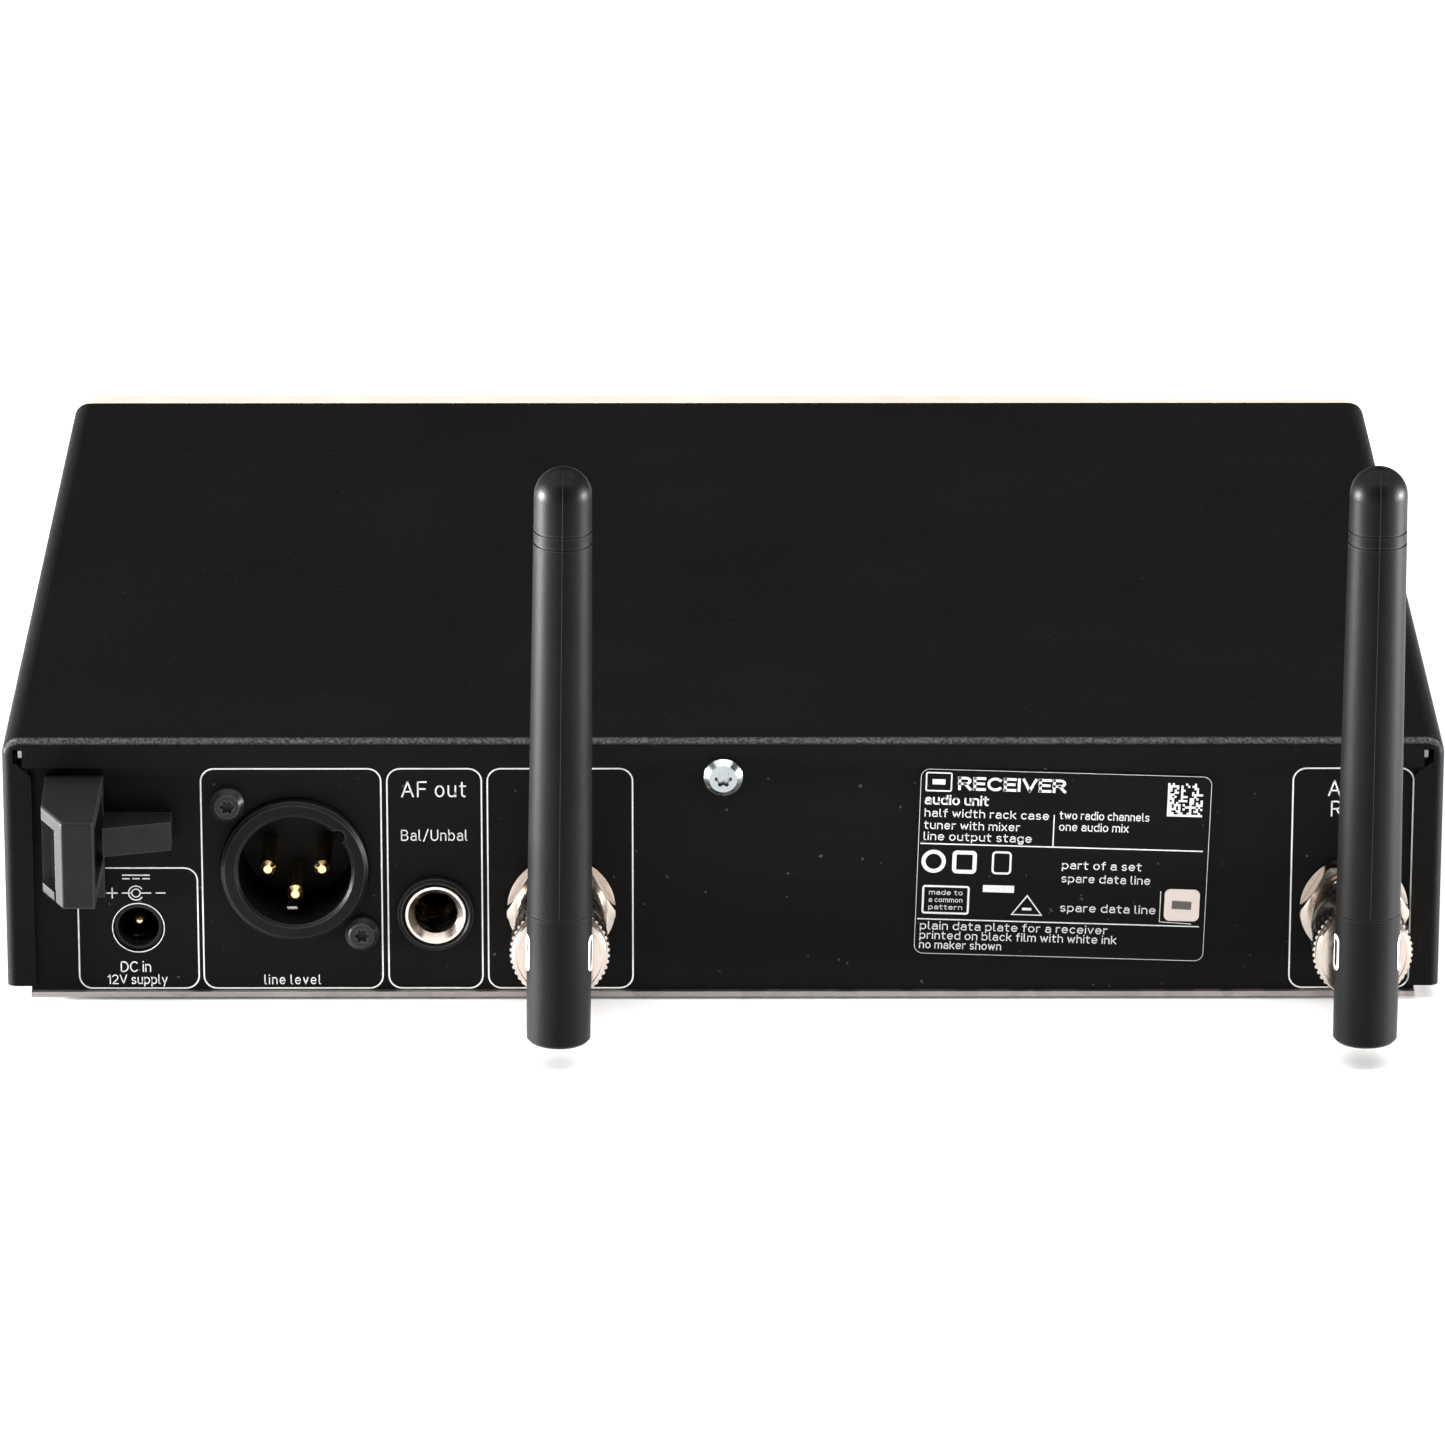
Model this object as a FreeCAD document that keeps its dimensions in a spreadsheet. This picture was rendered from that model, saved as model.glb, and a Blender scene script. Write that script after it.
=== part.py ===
import FreeCAD, Part
import Sketcher
import math
import os
import re

doc = FreeCAD.newDocument("wireless_receiver_unit")
sheet = doc.addObject("Spreadsheet::Sheet", "Dims")
dims = {}


def dim(alias, value):
    """Write one named size, in millimetres or degrees, to the sheet."""
    row = len(dims) + 1
    sheet.set("A%d" % row, alias)
    sheet.set("B%d" % row, "%g" % value)
    sheet.setAlias("B%d" % row, alias)
    dims[alias] = float(value)


# Overall size: +X right seen from the front, front towards -Y, +Z up.
dim("case_width", 212)
dim("case_height", 40.6)
dim("cover_length", 168)
dim("rear_y", 71.625)
dim("sheet_thick", 1)
dim("skin", 0.3)
# Folded cover.
dim("cover_foot", 1.85)
dim("side_bend", 2.5)
dim("rear_bend", 1.3)
dim("opening_x", 101.7)
dim("opening_z", 34.4)
dim("notch_x", 104.4)
dim("notch_z", 36.7)
dim("lip_x", 103)
dim("lip_z", 36.07)
dim("screw_z", 34.85)
dim("tab_radius", 3.95)
# Folded tray and its printed overlay.
dim("tray_half", 102.5)
dim("tray_wall_y", 2.6)
dim("tray_top", 38.2)
dim("tray_front", 166.9)
dim("tray_side_top", 34)
dim("tray_bend", 1.2)
dim("hem_height", 0.8)
# Front end.
dim("bezel_gap", 0.2)
dim("bezel_deep", 5.1)
dim("bezel_shallow", 2.8)
dim("bezel_low", 0.3)
dim("window_x", 98)
dim("window_low", 4.6)
dim("window_high", 36.4)
# Rear sockets.
dim("power_x", 86.5)
dim("power_z", 10.6)
dim("xlr_x", 63.2)
dim("xlr_z", 20)
dim("xlr_outer", 10.85)
dim("xlr_inner", 8.4)
dim("jack_x", 42.5)
dim("jack_z", 12.95)
dim("jack_bore", 3.2)
dim("aerial_a_x", 23.9)
dim("aerial_b_x", -93.2)
dim("aerial_z", 13.9)
# Bayonet connector.
dim("nut_across", 14.3)
dim("neck_radius", 6.25)
dim("barrel_radius", 4.84)
dim("barrel_bore", 4.075)
dim("barrel_end", 13.4)
dim("lug_y", 8.2)
dim("lug_radius", 1)
dim("lug_reach", 5.53)
dim("collar_bore", 5)
dim("collar_start", 4.2)
dim("collar_face", 19.6)
dim("collar_knurl", 7.3)
# Swivelling rod.
dim("rod_y", 26)
dim("rod_low", 3.5)
dim("rod_seam", 23.3)
dim("rod_low_radius", 4.7)
dim("rod_top_radius", 4.15)
dim("rod_top", 90.5)
dim("sleeve_radius", 4.75)
# Boards.
dim("board_z", 6)
dim("board_thick", 1.6)
dim("board_half", 97)
dim("board_rear", 36)
dim("board_front", 150)
dim("front_board_y", 163)


def ex(text):
    """Turn a formula in named sizes into a spreadsheet expression."""
    def link(match):
        word = match.group(0)
        return "Dims." + word if word in dims else word
    return re.sub(r"[a-z][a-z0-9_]*", link, str(text))


def val(text):
    """The number a formula in named sizes stands for, worked out by the sheet."""
    sheet.set("D1", "=" + str(text))
    sheet.recompute()
    return float(sheet.get("D1"))


def bind(obj, prop, formula):
    obj.setExpression(prop, ex(formula))


def place(obj, x, y, z, axis=None, angle=0):
    if axis:
        turn = FreeCAD.Rotation(FreeCAD.Vector(*axis), angle)
        obj.Placement = FreeCAD.Placement(FreeCAD.Vector(0, 0, 0), turn)
    bind(obj, "Placement.Base.x", x)
    bind(obj, "Placement.Base.y", y)
    bind(obj, "Placement.Base.z", z)
    return obj


def add(kind, name):
    return doc.addObject(kind, name)


def box(name, x0, x1, y0, y1, z0, z1):
    """A block between two corners; y is measured from the rear plane."""
    obj = add("Part::Box", name)
    bind(obj, "Length", "(%s)-(%s)" % (x1, x0))
    bind(obj, "Width", "(%s)-(%s)" % (y1, y0))
    bind(obj, "Height", "(%s)-(%s)" % (z1, z0))
    return place(obj, x0, "rear_y+(%s)" % y0, z0)


def rod_y(name, x, z, radius, y0, y1):
    """A cylinder along Y; y is measured from the rear plane."""
    obj = add("Part::Cylinder", name)
    bind(obj, "Radius", radius)
    bind(obj, "Height", "(%s)-(%s)" % (y1, y0))
    return place(obj, x, "rear_y+(%s)" % y0, z, (1, 0, 0), -90)


def cone_y(name, x, z, r0, r1, y0, y1):
    """A cone along Y from radius r0 at y0 to r1 at y1."""
    obj = add("Part::Cone", name)
    bind(obj, "Radius1", r0)
    bind(obj, "Radius2", r1)
    bind(obj, "Height", "(%s)-(%s)" % (y1, y0))
    return place(obj, x, "rear_y+(%s)" % y0, z, (1, 0, 0), -90)


def rod_z(name, x, y, radius, z0, z1):
    obj = add("Part::Cylinder", name)
    bind(obj, "Radius", radius)
    bind(obj, "Height", "(%s)-(%s)" % (z1, z0))
    return place(obj, x, "rear_y+(%s)" % y, z0)


def cone_z(name, x, y, r0, r1, z0, z1):
    obj = add("Part::Cone", name)
    bind(obj, "Radius1", r0)
    bind(obj, "Radius2", r1)
    bind(obj, "Height", "(%s)-(%s)" % (z1, z0))
    return place(obj, x, "rear_y+(%s)" % y, z0)


def rod_x(name, x0, x1, y, z, radius):
    obj = add("Part::Cylinder", name)
    bind(obj, "Radius", radius)
    bind(obj, "Height", "(%s)-(%s)" % (x1, x0))
    return place(obj, x0, "rear_y+(%s)" % y, z, (0, 1, 0), 90)


def ball(name, x, y, z, radius):
    obj = add("Part::Sphere", name)
    bind(obj, "Radius", radius)
    return place(obj, x, "rear_y+(%s)" % y, z)


def hexagon_y(name, x, z, circumradius, y0, y1):
    """A six-sided prism along Y."""
    obj = add("Part::Prism", name)
    obj.Polygon = 6
    bind(obj, "Circumradius", circumradius)
    bind(obj, "Height", "(%s)-(%s)" % (y1, y0))
    return place(obj, x, "rear_y+(%s)" % y0, z, (1, 0, 0), -90)


def fuse(name, shapes):
    obj = add("Part::MultiFuse", name)
    obj.Shapes = shapes
    return obj


def cut(name, base, tool):
    obj = add("Part::Cut", name)
    obj.Base = base
    obj.Tool = tool
    return obj


def cut_all(name, base, tools):
    if len(tools) == 1:
        return cut(name, base, tools[0])
    return cut(name, base, fuse(name + "_tools", tools))


def common(name, base, tool):
    obj = add("Part::Common", name)
    obj.Base = base
    obj.Tool = tool
    return obj


def group(name, shapes):
    obj = add("Part::Compound", name)
    obj.Links = shapes
    return obj


def origin_plane(body, role):
    for feature in body.Origin.OriginFeatures:
        if feature.Role == role:
            return feature
    return None


def polygon_sketch(body, name, role, points, offset=0):
    """A closed outline whose every corner is driven by the sheet."""
    sketch = body.newObject("Sketcher::SketchObject", name)
    sketch.AttachmentSupport = [(origin_plane(body, role), "")]
    sketch.MapMode = "FlatFace"
    if offset:
        bind(sketch, "AttachmentOffset.Base.z", offset)
    count = len(points)
    corners = [FreeCAD.Vector(val(a), val(b), 0) for a, b in points]
    for i in range(count):
        sketch.addGeometry(Part.LineSegment(corners[i], corners[(i + 1) % count]), False)
    for i in range(count):
        sketch.addConstraint(Sketcher.Constraint("Coincident", i, 2, (i + 1) % count, 1))
    for i, (a, b) in enumerate(points):
        for kind, formula, number in (("DistanceX", a, corners[i].x), ("DistanceY", b, corners[i].y)):
            index = sketch.addConstraint(Sketcher.Constraint(kind, -1, 1, i, 1, number))
            label = "%s_%d" % (kind[-1].lower() + "at", i)
            sketch.renameConstraint(index, label)
            bind(sketch, "Constraints." + label, formula)
    return sketch


def new_body(name):
    return add("PartDesign::Body", name)


def pad(body, name, sketch, length, reverse=False):
    obj = body.newObject("PartDesign::Pad", name)
    obj.Profile = sketch
    obj.Type = "Length"
    bind(obj, "Length", length)
    obj.Reversed = reverse
    doc.recompute()
    return obj


def pocket(body, name, sketch, length, reverse=False):
    obj = body.newObject("PartDesign::Pocket", name)
    obj.Profile = sketch
    obj.Type = "Length"
    bind(obj, "Length", length)
    obj.Reversed = reverse
    doc.recompute()
    return obj


def edges_where(feature, test):
    """Names of the edges whose middle and direction pass a test."""
    found = []
    for i, edge in enumerate(feature.Shape.Edges):
        first = edge.valueAt(edge.FirstParameter)
        last = edge.valueAt(edge.LastParameter)
        if test((first + last) * 0.5, last - first):
            found.append("Edge%d" % (i + 1))
    return found


def dress(body, kind, name, feature, test, size):
    """Round or chamfer the chosen edges of a body's feature."""
    doc.recompute()
    obj = body.newObject("PartDesign::" + kind, name)
    obj.Base = (feature, edges_where(feature, test))
    bind(obj, "Radius" if kind == "Fillet" else "Size", size)
    doc.recompute()
    return obj


def mirrored_pairs(points):
    """A chain from +X carried on by its mirror image to -X."""
    return points + [("-(%s)" % a, b) for a, b in reversed(points)]


NODES = []


def node(name, obj):
    """Give a finished sub-part its own name."""
    obj.Label = name
    NODES.append((name, obj))
    return obj


# ---------------------------------------------------------------- folded cover
# The XZ plane of a body looks along +Y: sketch x is X, sketch y is Z, and its
# normal is -Y.
cover = new_body("top_cover")
cover_block = pad(cover, "cover_block", polygon_sketch(cover, "cover_outline", "XZ_Plane", [
    ("case_width/2", "cover_foot"), ("case_width/2", "case_height"),
    ("-case_width/2", "case_height"), ("-case_width/2", "cover_foot")], "-rear_y"), "cover_length")
cover_round = dress(cover, "Fillet", "cover_side_bends", cover_block,
                    lambda m, d: abs(d.y) > 50 and m.z > 30, "side_bend")
cover_rear = dress(cover, "Fillet", "cover_rear_bends", cover_round,
                   lambda m, d: m.y > val("rear_y") - 0.01 and m.z > 5, "rear_bend")
pocket(cover, "cover_hollow", polygon_sketch(cover, "hollow_outline", "XZ_Plane", [
    ("case_width/2-sheet_thick", "0"), ("case_width/2-sheet_thick", "case_height-2.1"),
    ("case_width/2-2.1", "case_height-sheet_thick"), ("-case_width/2+2.1", "case_height-sheet_thick"),
    ("-case_width/2+sheet_thick", "case_height-2.1"), ("-case_width/2+sheet_thick", "0")],
    "-rear_y+sheet_thick"), "cover_length+5", True)
lip = [("opening_x", "0"), ("opening_x", "opening_z"), ("lip_x+1", "notch_z"), ("notch_x", "notch_z"),
       ("notch_x", "case_height-1.7"), ("lip_x", "case_height-1.7"), ("lip_x", "lip_z"),
       ("7.2", "lip_z"), ("6.2", "lip_z-0.12"), ("5.2", "lip_z-0.52"), ("4.4", "lip_z-1.12")]
for turn in (-8, -26, -44, -62, -80):
    reach = math.cos(math.radians(turn))
    drop = math.sin(math.radians(turn))
    lip.append(("tab_radius*%.4f" % reach, "screw_z+tab_radius*(%.4f)" % drop))
opening = polygon_sketch(cover, "rear_opening", "XZ_Plane", mirrored_pairs(lip), "-rear_y-1")
pocket(cover, "cover_opening", opening, "sheet_thick+3", True)
cover_holes = [rod_y("cover_screw_hole", "0", "screw_z", "1.6", "-3", "3")]
for side, where in (("a", "1"), ("b", "-1")):
    for row in (105, 145):
        cover_holes.append(rod_x("cover_bracket_hole_%s%d" % (side, row), "%s*105.5-2" % where,
                                 "%s*105.5+2" % where, "-%d" % row, "20.3", "2.1"))
node("top_cover", cut_all("top_cover_drilled", cover, cover_holes))

# ---------------------------------------------------------------- folded tray
tray = new_body("tray_body")
wall_front = "-rear_y+tray_wall_y"
tray_block = pad(tray, "tray_block", polygon_sketch(tray, "tray_outline", "XZ_Plane", [
    ("tray_half", "0"), ("tray_half", "tray_top"), ("-tray_half", "tray_top"), ("-tray_half", "0")],
    "-rear_y+tray_wall_y-sheet_thick"), "tray_front-tray_wall_y+sheet_thick")
tray_round = dress(tray, "Fillet", "tray_rear_bend", tray_block,
                   lambda m, d: abs(d.x) > 50 and m.z < 1 and m.y > 0, "tray_bend")
pocket(tray, "tray_hollow", polygon_sketch(tray, "tray_inside", "XZ_Plane", [
    ("tray_half-sheet_thick", "sheet_thick"), ("tray_half-sheet_thick", "60"),
    ("-tray_half+sheet_thick", "60"), ("-tray_half+sheet_thick", "sheet_thick")],
    wall_front), "tray_front-tray_wall_y-sheet_thick", True)
ears = [box("tray_ear_a", "lip_x-2", "103.7", "-tray_wall_y", "-tray_wall_y+sheet_thick", "37.1", "tray_top"),
        box("tray_ear_b", "-103.7", "-lip_x+2", "-tray_wall_y", "-tray_wall_y+sheet_thick", "37.1", "tray_top")]
hem = box("tray_hem", "-tray_half", "tray_half", "-tray_wall_y-0.5", "-0.35", "0", "hem_height")
tray_fused = fuse("tray_with_ears", [tray, hem] + ears)


def rear_drills(tag, grow):
    """The holes the rear wall and its overlay share, grown by a margin."""
    tools = [rod_y(tag + "_power", "power_x", "power_z", "3.65+%g" % grow, "-6", "3"),
             rod_y(tag + "_xlr", "xlr_x", "xlr_z", "xlr_outer+0.2+%g" % grow, "-6", "3"),
             rod_y(tag + "_jack", "jack_x", "jack_z", "4.7+%g" % grow, "-6", "3"),
             rod_y(tag + "_aerial_a", "aerial_a_x", "aerial_z", "neck_radius+0.15+%g" % grow, "-6", "3"),
             rod_y(tag + "_aerial_b", "aerial_b_x", "aerial_z", "neck_radius+0.15+%g" % grow, "-6", "3"),
             rod_y(tag + "_cover", "0", "screw_z", "1.48+%g" % grow, "-6", "3"),
             rod_y(tag + "_xlr_up", "xlr_x+9.8", "xlr_z+10.1", "1.45+%g" % grow, "-6", "3"),
             rod_y(tag + "_xlr_low", "xlr_x-9.8", "xlr_z-10.1", "1.45+%g" % grow, "-6", "3"),
             rod_y(tag + "_holder_up", "95.4", "31", "1.6+%g" % grow, "-6", "3"),
             rod_y(tag + "_holder_low", "95.4", "20.5", "1.6+%g" % grow, "-6", "3")]
    return tools


tray_tools = rear_drills("tray_hole", 0.15)
tray_tools.append(box("tray_front_open", "-200", "200", "-tray_front-1", "-tray_front+sheet_thick+1", "6", "60"))
tray_tools.append(box("tray_side_low", "-200", "200", "-tray_front-1", "-8", "tray_side_top", "60"))
for n in range(9):
    tray_tools.append(box("tray_vent_%d" % n, "-60+%d" % (n * 15), "-56+%d" % (n * 15), "-120", "-90", "-1", "3"))
for side, where in (("a", "1"), ("b", "-1")):
    for row in (105, 145):
        tray_tools.append(rod_x("tray_boss_hole_%s%d" % (side, row), "%s*102-2" % where,
                                "%s*102+2" % where, "-%d" % row, "20.3", "3"))
STANDOFFS = [(-92, 42), (92, 42), (-92, 95), (92, 95), (-92, 144), (92, 144)]
for n, (sx, sy) in enumerate(STANDOFFS):
    tray_tools.append(rod_z("tray_standoff_hole_%d" % n, sx, -sy, "2", "-1", "3"))
tray_tools.append(box("tray_slot_a", "-97", "-87", "-168", "-164", "1.1", "5"))
tray_tools.append(box("tray_slot_b", "87", "97", "-168", "-164", "1.1", "5"))
node("chassis_tray", cut_all("chassis_tray_drilled", tray_fused, tray_tools))

film = box("film_sheet", "-102.4", "102.4", "-tray_wall_y+1", "-tray_wall_y+1+skin", "hem_height+0.05", "38")
node("rear_overlay", cut_all("rear_overlay_cut", film, rear_drills("film_hole", 0)))

# ---------------------------------------------------------------- label, screw
plate = new_body("type_plate")
lean = math.radians(1.8)
plate_points = []
for px, pz in ((21.6, 14.65), (-21.6, 14.65), (-21.6, -14.65), (21.6, -14.65)):
    plate_points.append(("-50.1+(%.4f)" % (px * math.cos(lean) - pz * math.sin(lean)),
                         "20.4+(%.4f)" % (px * math.sin(lean) + pz * math.cos(lean))))
plate_pad = pad(plate, "plate_pad", polygon_sketch(plate, "plate_outline", "XZ_Plane", plate_points,
                                                   "-rear_y+1.1"), "0.15")
dress(plate, "Fillet", "plate_corners", plate_pad, lambda m, d: abs(d.y) > 0.1, "1.4")
node("type_plate", plate)
seal = new_body("security_sticker")
seal_points = []
for px, pz in ((-15.3, -3.2), (-20.5, -3.2), (-20.5, -8.2), (-15.3, -8.2)):
    seal_points.append(("-50.1+(%.4f)" % (px * math.cos(lean) - pz * math.sin(lean)),
                        "20.4+(%.4f)" % (px * math.sin(lean) + pz * math.cos(lean))))
seal_pad = pad(seal, "seal_pad", polygon_sketch(seal, "seal_outline", "XZ_Plane", seal_points,
                                                "-rear_y+0.95"), "0.1")
dress(seal, "Fillet", "seal_corners", seal_pad, lambda m, d: abs(d.y) > 0.05, "0.9")
node("security_sticker", seal)


def star_screw(tag, x, z, head_radius, shank_radius, base, crown, length):
    """A domed screw along Y with a six-lobed recess; head from base to crown."""
    disc = rod_y(tag + "_disc", x, z, head_radius, base, "(%s+%s)/2" % (base, crown))
    dome = cone_y(tag + "_dome", x, z, head_radius, "%s*0.72" % head_radius, "(%s+%s)/2" % (base, crown), crown)
    shank = rod_y(tag + "_shank", x, z, shank_radius, "%s-%s" % (base, length), base)
    whole = fuse(tag + "_solid", [disc, dome, shank])
    lobes = [rod_y(tag + "_well", x, z, "%s*0.34" % head_radius, "%s-0.9" % crown, "%s+1" % crown)]
    for n in range(6):
        turn = math.radians(60 * n)
        lobes.append(rod_y(tag + "_lobe%d" % n, "%s+%s*%.4f" % (x, head_radius, 0.34 * math.cos(turn)),
                           "%s+%s*%.4f" % (z, head_radius, 0.34 * math.sin(turn)),
                           "%s*0.11" % head_radius, "%s-0.9" % crown, "%s+1" % crown))
    return cut_all(tag + "_cut", whole, lobes)


node("cover_screw", star_screw("cover_screw", "0", "screw_z", "2.85", "1.45", "0.05", "1.6", "7"))

# ---------------------------------------------------------------- front end
bezel = new_body("bezel_body")
curve = [("-56.4", "rear_y-cover_length-bezel_deep")]
for n in range(1, 6):
    part = n / 6.0
    ease = part * part * (3 - 2 * part)
    curve.append(("-56.4-%.4f" % (5.1 * part),
                  "rear_y-cover_length-bezel_deep+(bezel_deep-bezel_shallow)*%.4f" % ease))
curve.append(("-61.5", "rear_y-cover_length-bezel_shallow"))
bezel_outline = [("104", "rear_y-cover_length-bezel_gap"), ("101.7", "rear_y-cover_length-bezel_deep")]
bezel_outline += curve
bezel_outline += [("-102.7", "rear_y-cover_length-bezel_shallow"), ("-104", "rear_y-cover_length-bezel_gap")]
bezel_pad = pad(bezel, "bezel_pad", polygon_sketch(bezel, "bezel_outline", "XY_Plane", bezel_outline,
                                                   "bezel_low"), "case_height-bezel_low")
dress(bezel, "Fillet", "bezel_edges", bezel_pad,
      lambda m, d: m.z > 40 and m.y < val("rear_y-cover_length-1") and abs(d.x) > 30, "0.8")
bezel_hole = box("bezel_window", "-window_x", "window_x", "-180", "-160", "window_low", "window_high")
BUTTONS = [("power", -86, 20.5, 5.0), ("sync", -70, 20.5, 3.6), ("up", 66, 26.5, 3.4),
           ("down", 66, 14.5, 3.4), ("set", 79, 20.5, 4.2), ("escape", 91, 20.5, 3.4)]
bezel_fins = [box("bezel_tongue_a", "-96", "-88", "-168.4", "-165.4", "1.4", "4.4"),
              box("bezel_tongue_b", "88", "96", "-168.4", "-165.4", "1.4", "4.4"),
              box("bezel_tongue_c", "-80", "80", "-168.4", "-166.2", "36.6", "39.2")]
node("front_bezel", fuse("bezel_whole", [cut("bezel_framed", bezel, bezel_hole)] + bezel_fins))

fascia = new_body("fascia_body")
face = [("window_x-0.25", "rear_y-169.6"), ("window_x-0.25", "rear_y-cover_length-bezel_deep+0.4")]
face += [(a, b + "+0.4") for a, b in curve]
face += [("-window_x+0.25", "rear_y-cover_length-bezel_shallow+0.4"), ("-window_x+0.25", "rear_y-169.0"),
         ("-63", "rear_y-169.0"), ("-60", "rear_y-169.6")]
pad(fascia, "fascia_pad", polygon_sketch(fascia, "fascia_outline", "XY_Plane", face, "window_low+0.25"),
    "window_high-window_low-0.5")
fascia_tools = [box("fascia_display_hole", "-12", "48", "-180", "-160", "8.5", "32.5")]
for label, bx, bz, br in BUTTONS:
    fascia_tools.append(rod_y("fascia_%s_hole" % label, bx, bz, "%g+0.2" % br, "-180", "-160"))
for n, (lx, lz) in enumerate(((-42, 25), (-42, 16))):
    fascia_tools.append(rod_y("fascia_light_hole_%d" % n, lx, lz, "1.6", "-180", "-160"))
fascia_tools.append(box("fascia_badge_recess", "-34", "-18", "-180", "-172.2", "18.5", "22.5"))
node("front_fascia", cut_all("fascia_cut", fascia, fascia_tools))
node("display_window", box("window_pane", "-11.8", "47.8", "-172.5", "-170.9", "8.7", "32.3"))
display = box("display_glass", "-13", "49", "-169.2", "-167.4", "8.0", "33.0")
display_back = box("display_carrier", "-14", "50", "-167.4", "-164.9", "7.5", "33.5")
node("display_module", fuse("display_unit", [display, display_back]))
board_edge = "-front_board_y"
front_board = box("front_board_sheet", "-94", "96", "-front_board_y-1.6", board_edge, "6.5", "34")
node("front_board", cut_all("front_board_cut", front_board, [
    rod_y("front_board_hole_%d" % n, hx, hz, "1.6", "-170", "-150")
    for n, (hx, hz) in enumerate(((-55, 10), (-55, 31), (57, 10), (57, 31)))]))
switches = []
for label, bx, bz, br in BUTTONS:
    base_box = box("switch_%s_base" % label, bx - 2.6, bx + 2.6, "-front_board_y-1.6-1.9",
                   "-front_board_y-1.65", bz - 2.6, bz + 2.6)
    nub = rod_y("switch_%s_nub" % label, bx, bz, "0.9", "-front_board_y-1.6-2.2", "-front_board_y-1.6-1.8")
    switches.append(fuse("switch_%s" % label, [base_box, nub]))
node("tact_switches", group("switch_set", switches))
for label, bx, bz, br in BUTTONS:
    crown = "-174.0" if bx > -60 else "-171.7"
    inner = "-169.4" if bx > -60 else "-168.9"
    cap = rod_y("%s_cap" % label, bx, bz, "%g-0.35" % br, crown + "+0.35", inner)
    bevel = cone_y("%s_bevel" % label, bx, bz, "%g-0.8" % br, "%g-0.35" % br, crown, crown + "+0.35")
    flange = rod_y("%s_flange" % label, bx, bz, "%g+0.9" % br, inner, inner + "+0.6")
    stem = rod_y("%s_stem" % label, bx, bz, "1.1", inner + "+0.6", "-front_board_y-1.6-3.25")
    node("%s_button" % label, fuse("%s_key" % label, [cap, bevel, flange, stem]))
pipes = []
for n, lz in enumerate((25, 16)):
    pipes.append(fuse("light_pipe_%d" % n, [
        rod_y("light_lens_%d" % n, -42, lz, "1.4", "-172.6", "-169.2"),
        rod_y("light_stem_%d" % n, -42, lz, "2.1", "-169.2", "-front_board_y-1.6-1.2")]))
node("status_light_pipes", group("light_pipe_set", pipes))

# ---------------------------------------------------------------- boards
main = box("main_board_sheet", "-board_half", "board_half", "-board_front", "-board_rear", "board_z",
           "board_z+board_thick")
holes = [rod_z("main_board_hole_%d" % n, sx, -sy, "1.7", "board_z-2", "board_z+5")
         for n, (sx, sy) in enumerate(STANDOFFS)]
node("main_board", cut_all("main_board_cut", main, holes))
posts = []
screws = []
for n, (sx, sy) in enumerate(STANDOFFS):
    post = fuse("post_%d_whole" % n, [rod_z("post_%d_body" % n, sx, -sy, "2.75", "1.05", "board_z-0.05"),
                                      rod_z("post_%d_foot" % n, sx, -sy, "1.97", "0.1", "1.05")])
    posts.append(cut("post_%d" % n, post, rod_z("post_%d_bore" % n, sx, -sy, "1.3", "0.6", "board_z+1")))
    head = rod_z("board_screw_%d_head" % n, sx, -sy, "2.6", "board_z+board_thick+0.05", "board_z+board_thick+1.7")
    shank = rod_z("board_screw_%d_shank" % n, sx, -sy, "1.25", "2.2", "board_z+board_thick+0.05")
    well = rod_z("board_screw_%d_well" % n, sx, -sy, "0.9", "board_z+board_thick+0.9", "board_z+board_thick+3")
    screws.append(cut("board_screw_%d" % n, fuse("board_screw_%d_whole" % n, [head, shank]), well))
node("board_standoffs", group("post_set", posts))
node("board_screws", group("board_screw_set", screws))


def can(tag, x0, x1, y0, y1, height):
    low = "board_z+board_thick+0.05"
    shell = box(tag + "_shell", x0, x1, y0, y1, low, "board_z+board_thick+%g" % height)
    hollow = box(tag + "_hollow", x0 + 0.4, x1 - 0.4, "(%s)+0.4" % y0, "(%s)-0.4" % y1, "board_z",
                 "board_z+board_thick+%g-0.4" % height)
    return cut(tag, shell, hollow)


node("radio_shields", group("shield_set", [can("shield_a", 2, 46, "-76", "-40", 5),
                                           can("shield_b", -80, -40, "-76", "-40", 5)]))
chips = []
CHIPS = [(-20, 100, 14, 14, 1.2), (12, 106, 10, 10, 1.1), (-52, 108, 9, 9, 1.1), (44, 98, 8, 6, 1.3),
         (60, 112, 7, 7, 1.0), (-20, 66, 7, 5, 1.2), (-30, 132, 12, 8, 1.5), (24, 134, 9, 6, 1.2)]
for n, (px, py, wx, wy, tall) in enumerate(CHIPS):
    chips.append(box("chip_%d" % n, px - wx / 2.0, px + wx / 2.0, -py - wy / 2.0, -py + wy / 2.0,
                     "board_z+board_thick+0.1", "board_z+board_thick+0.1+%g" % tall))
node("board_chips", group("chip_set", chips))
cans = []
for n, (px, py, r, tall) in enumerate(((76, 60, 4, 9), (76, 72, 4, 9), (66, 84, 3.2, 7), (80, 90, 3.2, 7),
                                       (52, 84, 3.2, 7))):
    cans.append(rod_z("capacitor_%d" % n, px, -py, r, "board_z+board_thick+0.1", "board_z+board_thick+%g" % tall))
node("board_capacitors", group("capacitor_set", cans))
ribbon = new_body("ribbon_cable")
strip = [("rear_y-162.9", "26"), ("rear_y-162.5", "26"), ("rear_y-160.4", "24"), ("rear_y-158", "15"),
         ("rear_y-152", "10.2"), ("rear_y-142", "9.4"), ("rear_y-142", "9.0"), ("rear_y-152.2", "9.7"),
         ("rear_y-158.4", "14.7"), ("rear_y-160.9", "23.9")]
pad(ribbon, "ribbon_pad", polygon_sketch(ribbon, "ribbon_path", "YZ_Plane", strip, "-14"), "28")
node("ribbon_cable", ribbon)
bosses = []
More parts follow.
